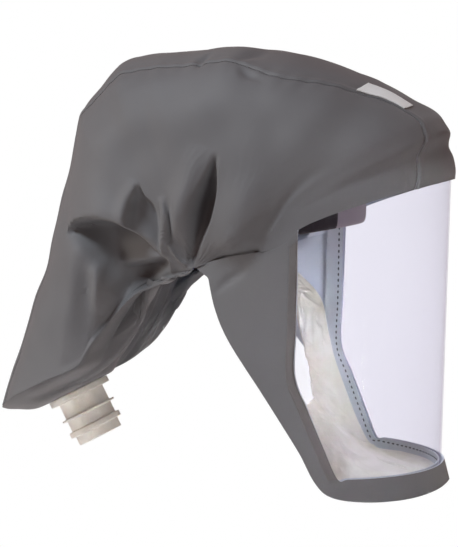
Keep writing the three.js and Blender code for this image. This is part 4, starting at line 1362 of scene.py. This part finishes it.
# Head band and tabs
def band_piece():
    turn = circle(BAND_STEPS)
    forward = np.cos(turn)
    f = BAND_LONG * forward
    out = unit(xyz(forward / BAND_LONG, np.sin(turn) / BAND_WIDE, 0.0))
    pad = BAND_PAD * smooth(*PAD_GROWS, forward) + PAD_STEP * smooth(PAD_FROM - PAD_EDGE, PAD_FROM, forward)
    half = (BAND_THICK + pad) / 2
    ring = circle(BAND_RING)
    up, thick = (np.sign(wave) * np.abs(wave) ** BAND_POWER for wave in (np.sin(ring), np.cos(ring)))
    middle = xyz(f, BAND_WIDE * np.sin(turn), f * BAND_TILT)
    points = middle[:, None] + out[:, None] * (half[:, None] * thick[None])[..., None]
    points[..., 2] += up * BAND_HIGH / 2
    faces = ring_faces(BAND_STEPS, BAND_RING, True)[:, REVERSED]
    uv = np.stack([np.repeat(turn * BAND_LONG, BAND_RING), np.tile(ring * BAND_HIGH / 2, BAND_STEPS)], 1)
    # Faces of the front pad take the pad cloth, painted lighter than the band to stand for the light that
    # falls there through the visor
    slots = np.repeat(forward > PAD_FROM, BAND_RING)
    cloths = [looks["band_cloth"], looks["pad_cloth_painted_light"]]
    return mesh_piece("head_band_pad", points.reshape(-1, 3), faces, cloths, slots, uv, sharp=70)


band = dress(band_piece(), "headband")


def tab_grid():
    f = np.linspace(TAB_F - TAB_WIDE / 2, TAB_F + TAB_WIDE / 2, TAB_ROWS)[:, None]
    low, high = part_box("headband_tab_left")
    reach = np.linspace(low[0] / MM, high[0] / MM, TAB_COLUMNS)[None, :]
    wave = TAB_WAVE * np.sin(math.pi * np.linspace(0, 2, TAB_COLUMNS))[None, :]
    return xyz(f, reach, TAB_Z + wave)


tab_left, tab_right = left_and_right(
    "band_strap", "headband_tab", tab_grid(), TAB_THICK, looks["band_cloth"]
)


# Label
def label_piece():
    rows = np.interp(np.linspace(LABEL_FROM, LABEL_TO, LABEL_ROWS), STATIONS, np.arange(len(STATIONS)))
    shares = np.linspace(LABEL_SEAM, LABEL_TOP, LABEL_COLUMNS)
    columns = CROWN_END - 1 - CROWN_STEPS * shares ** (1 / SEAM_CLUSTER)
    grid = np.empty((len(rows), len(columns), 3))
    for i, r in enumerate(rows):
        low = int(r)
        line = between(HOOD[low], HOOD[low + 1], r - low)
        for axis in range(3):
            grid[i, :, axis] = np.interp(columns, np.arange(len(line)), line[:, axis])
    grid = grid + grid_normals(grid, True) * (LABEL_THICK + LABEL_GAP)
    return grid_wall("label_blank", grid, LABEL_THICK, [looks["label_cloth"]], flip=True)


label = dress(label_piece(), "label_patch")


# Stage: floor, light and camera
def add_floor():
    mesh = bpy.data.meshes.new("floor")
    corners = [(-1, -1), (1, -1), (1, 1), (-1, 1)]
    points = [(x * FLOOR_SIZE, y * FLOOR_SIZE, FLOOR_HEIGHT) for x, y in corners]
    mesh.from_pydata(points, [], [(0, 1, 2, 3)])
    nodes = Nodes("floor_paint")
    nodes.set(Base_Color=shades(nodes, FLOOR_LOW, FLOOR_HIGH, FLOOR_PATCHES), Roughness=FLOOR_ROUGH)
    mesh.materials.append(nodes.material)
    floor = bpy.data.objects.new("floor", mesh)
    bpy.context.scene.collection.objects.link(floor)


def add_world():
    """Light from all round, and white behind the object."""
    world = bpy.data.worlds.new("studio")
    world.use_nodes = True
    bpy.context.scene.world = world
    tree = world.node_tree
    light = tree.nodes["Background"]
    place = tree.nodes.new("ShaderNodeTexCoord")
    parts = tree.nodes.new("ShaderNodeSeparateXYZ")
    ramp = tree.nodes.new("ShaderNodeValToRGB")
    set_ramp(ramp, WORLD_AT, WORLD_COLOURS)
    height = tree.nodes.new("ShaderNodeMapRange")
    height.inputs["From Min"].default_value = -1
    white = tree.nodes.new("ShaderNodeBackground")
    white.inputs["Color"].default_value = (1, 1, 1, 1)
    seen = tree.nodes.new("ShaderNodeLightPath")
    mix = tree.nodes.new("ShaderNodeMixShader")
    links = [
        (place.outputs["Generated"], parts.inputs[0]),
        (parts.outputs["Z"], height.inputs["Value"]),
        (height.outputs["Result"], ramp.inputs["Fac"]),
        (ramp.outputs["Color"], light.inputs["Color"]),
        (seen.outputs["Is Camera Ray"], mix.inputs[0]),
        (light.outputs[0], mix.inputs[1]),
        (white.outputs[0], mix.inputs[2]),
        (mix.outputs[0], tree.nodes["World Output"].inputs[0]),
    ]
    for source, target in links:
        tree.links.new(source, target)


def area_light(name, place, aim, power, size, spread, colour, in_gloss):
    light = bpy.data.lights.new(name, "AREA")
    light.energy = power
    light.size = size
    light.spread = math.radians(spread)
    light.color = colour
    lamp = bpy.data.objects.new(name, light)
    lamp.location = place
    lamp.visible_glossy = in_gloss
    lamp.rotation_euler = (Vector(aim) - Vector(place)).to_track_quat("-Z", "Y").to_euler()
    bpy.context.scene.collection.objects.link(lamp)


def add_camera():
    turn = math.radians(CAMERA_AZIMUTH)
    data = bpy.data.cameras.new("camera")
    data.sensor_fit = "VERTICAL"
    data.sensor_height = FILM_HEIGHT
    data.lens = FOCAL_PIXELS / PICTURE_HEIGHT * FILM_HEIGHT
    camera = bpy.data.objects.new("camera", data)
    camera.location = (math.sin(turn) * CAMERA_AWAY, -math.cos(turn) * CAMERA_AWAY, CAMERA_HEIGHT)
    camera.rotation_euler = (Vector(CAMERA_AIM) - camera.location).to_track_quat("-Z", "Y").to_euler()
    bpy.context.scene.collection.objects.link(camera)
    bpy.context.scene.camera = camera


bpy.context.scene.view_settings.view_transform = "Standard"
add_floor()
add_world()
for lamp_values in LIGHTS:
    area_light(*lamp_values)
add_camera()
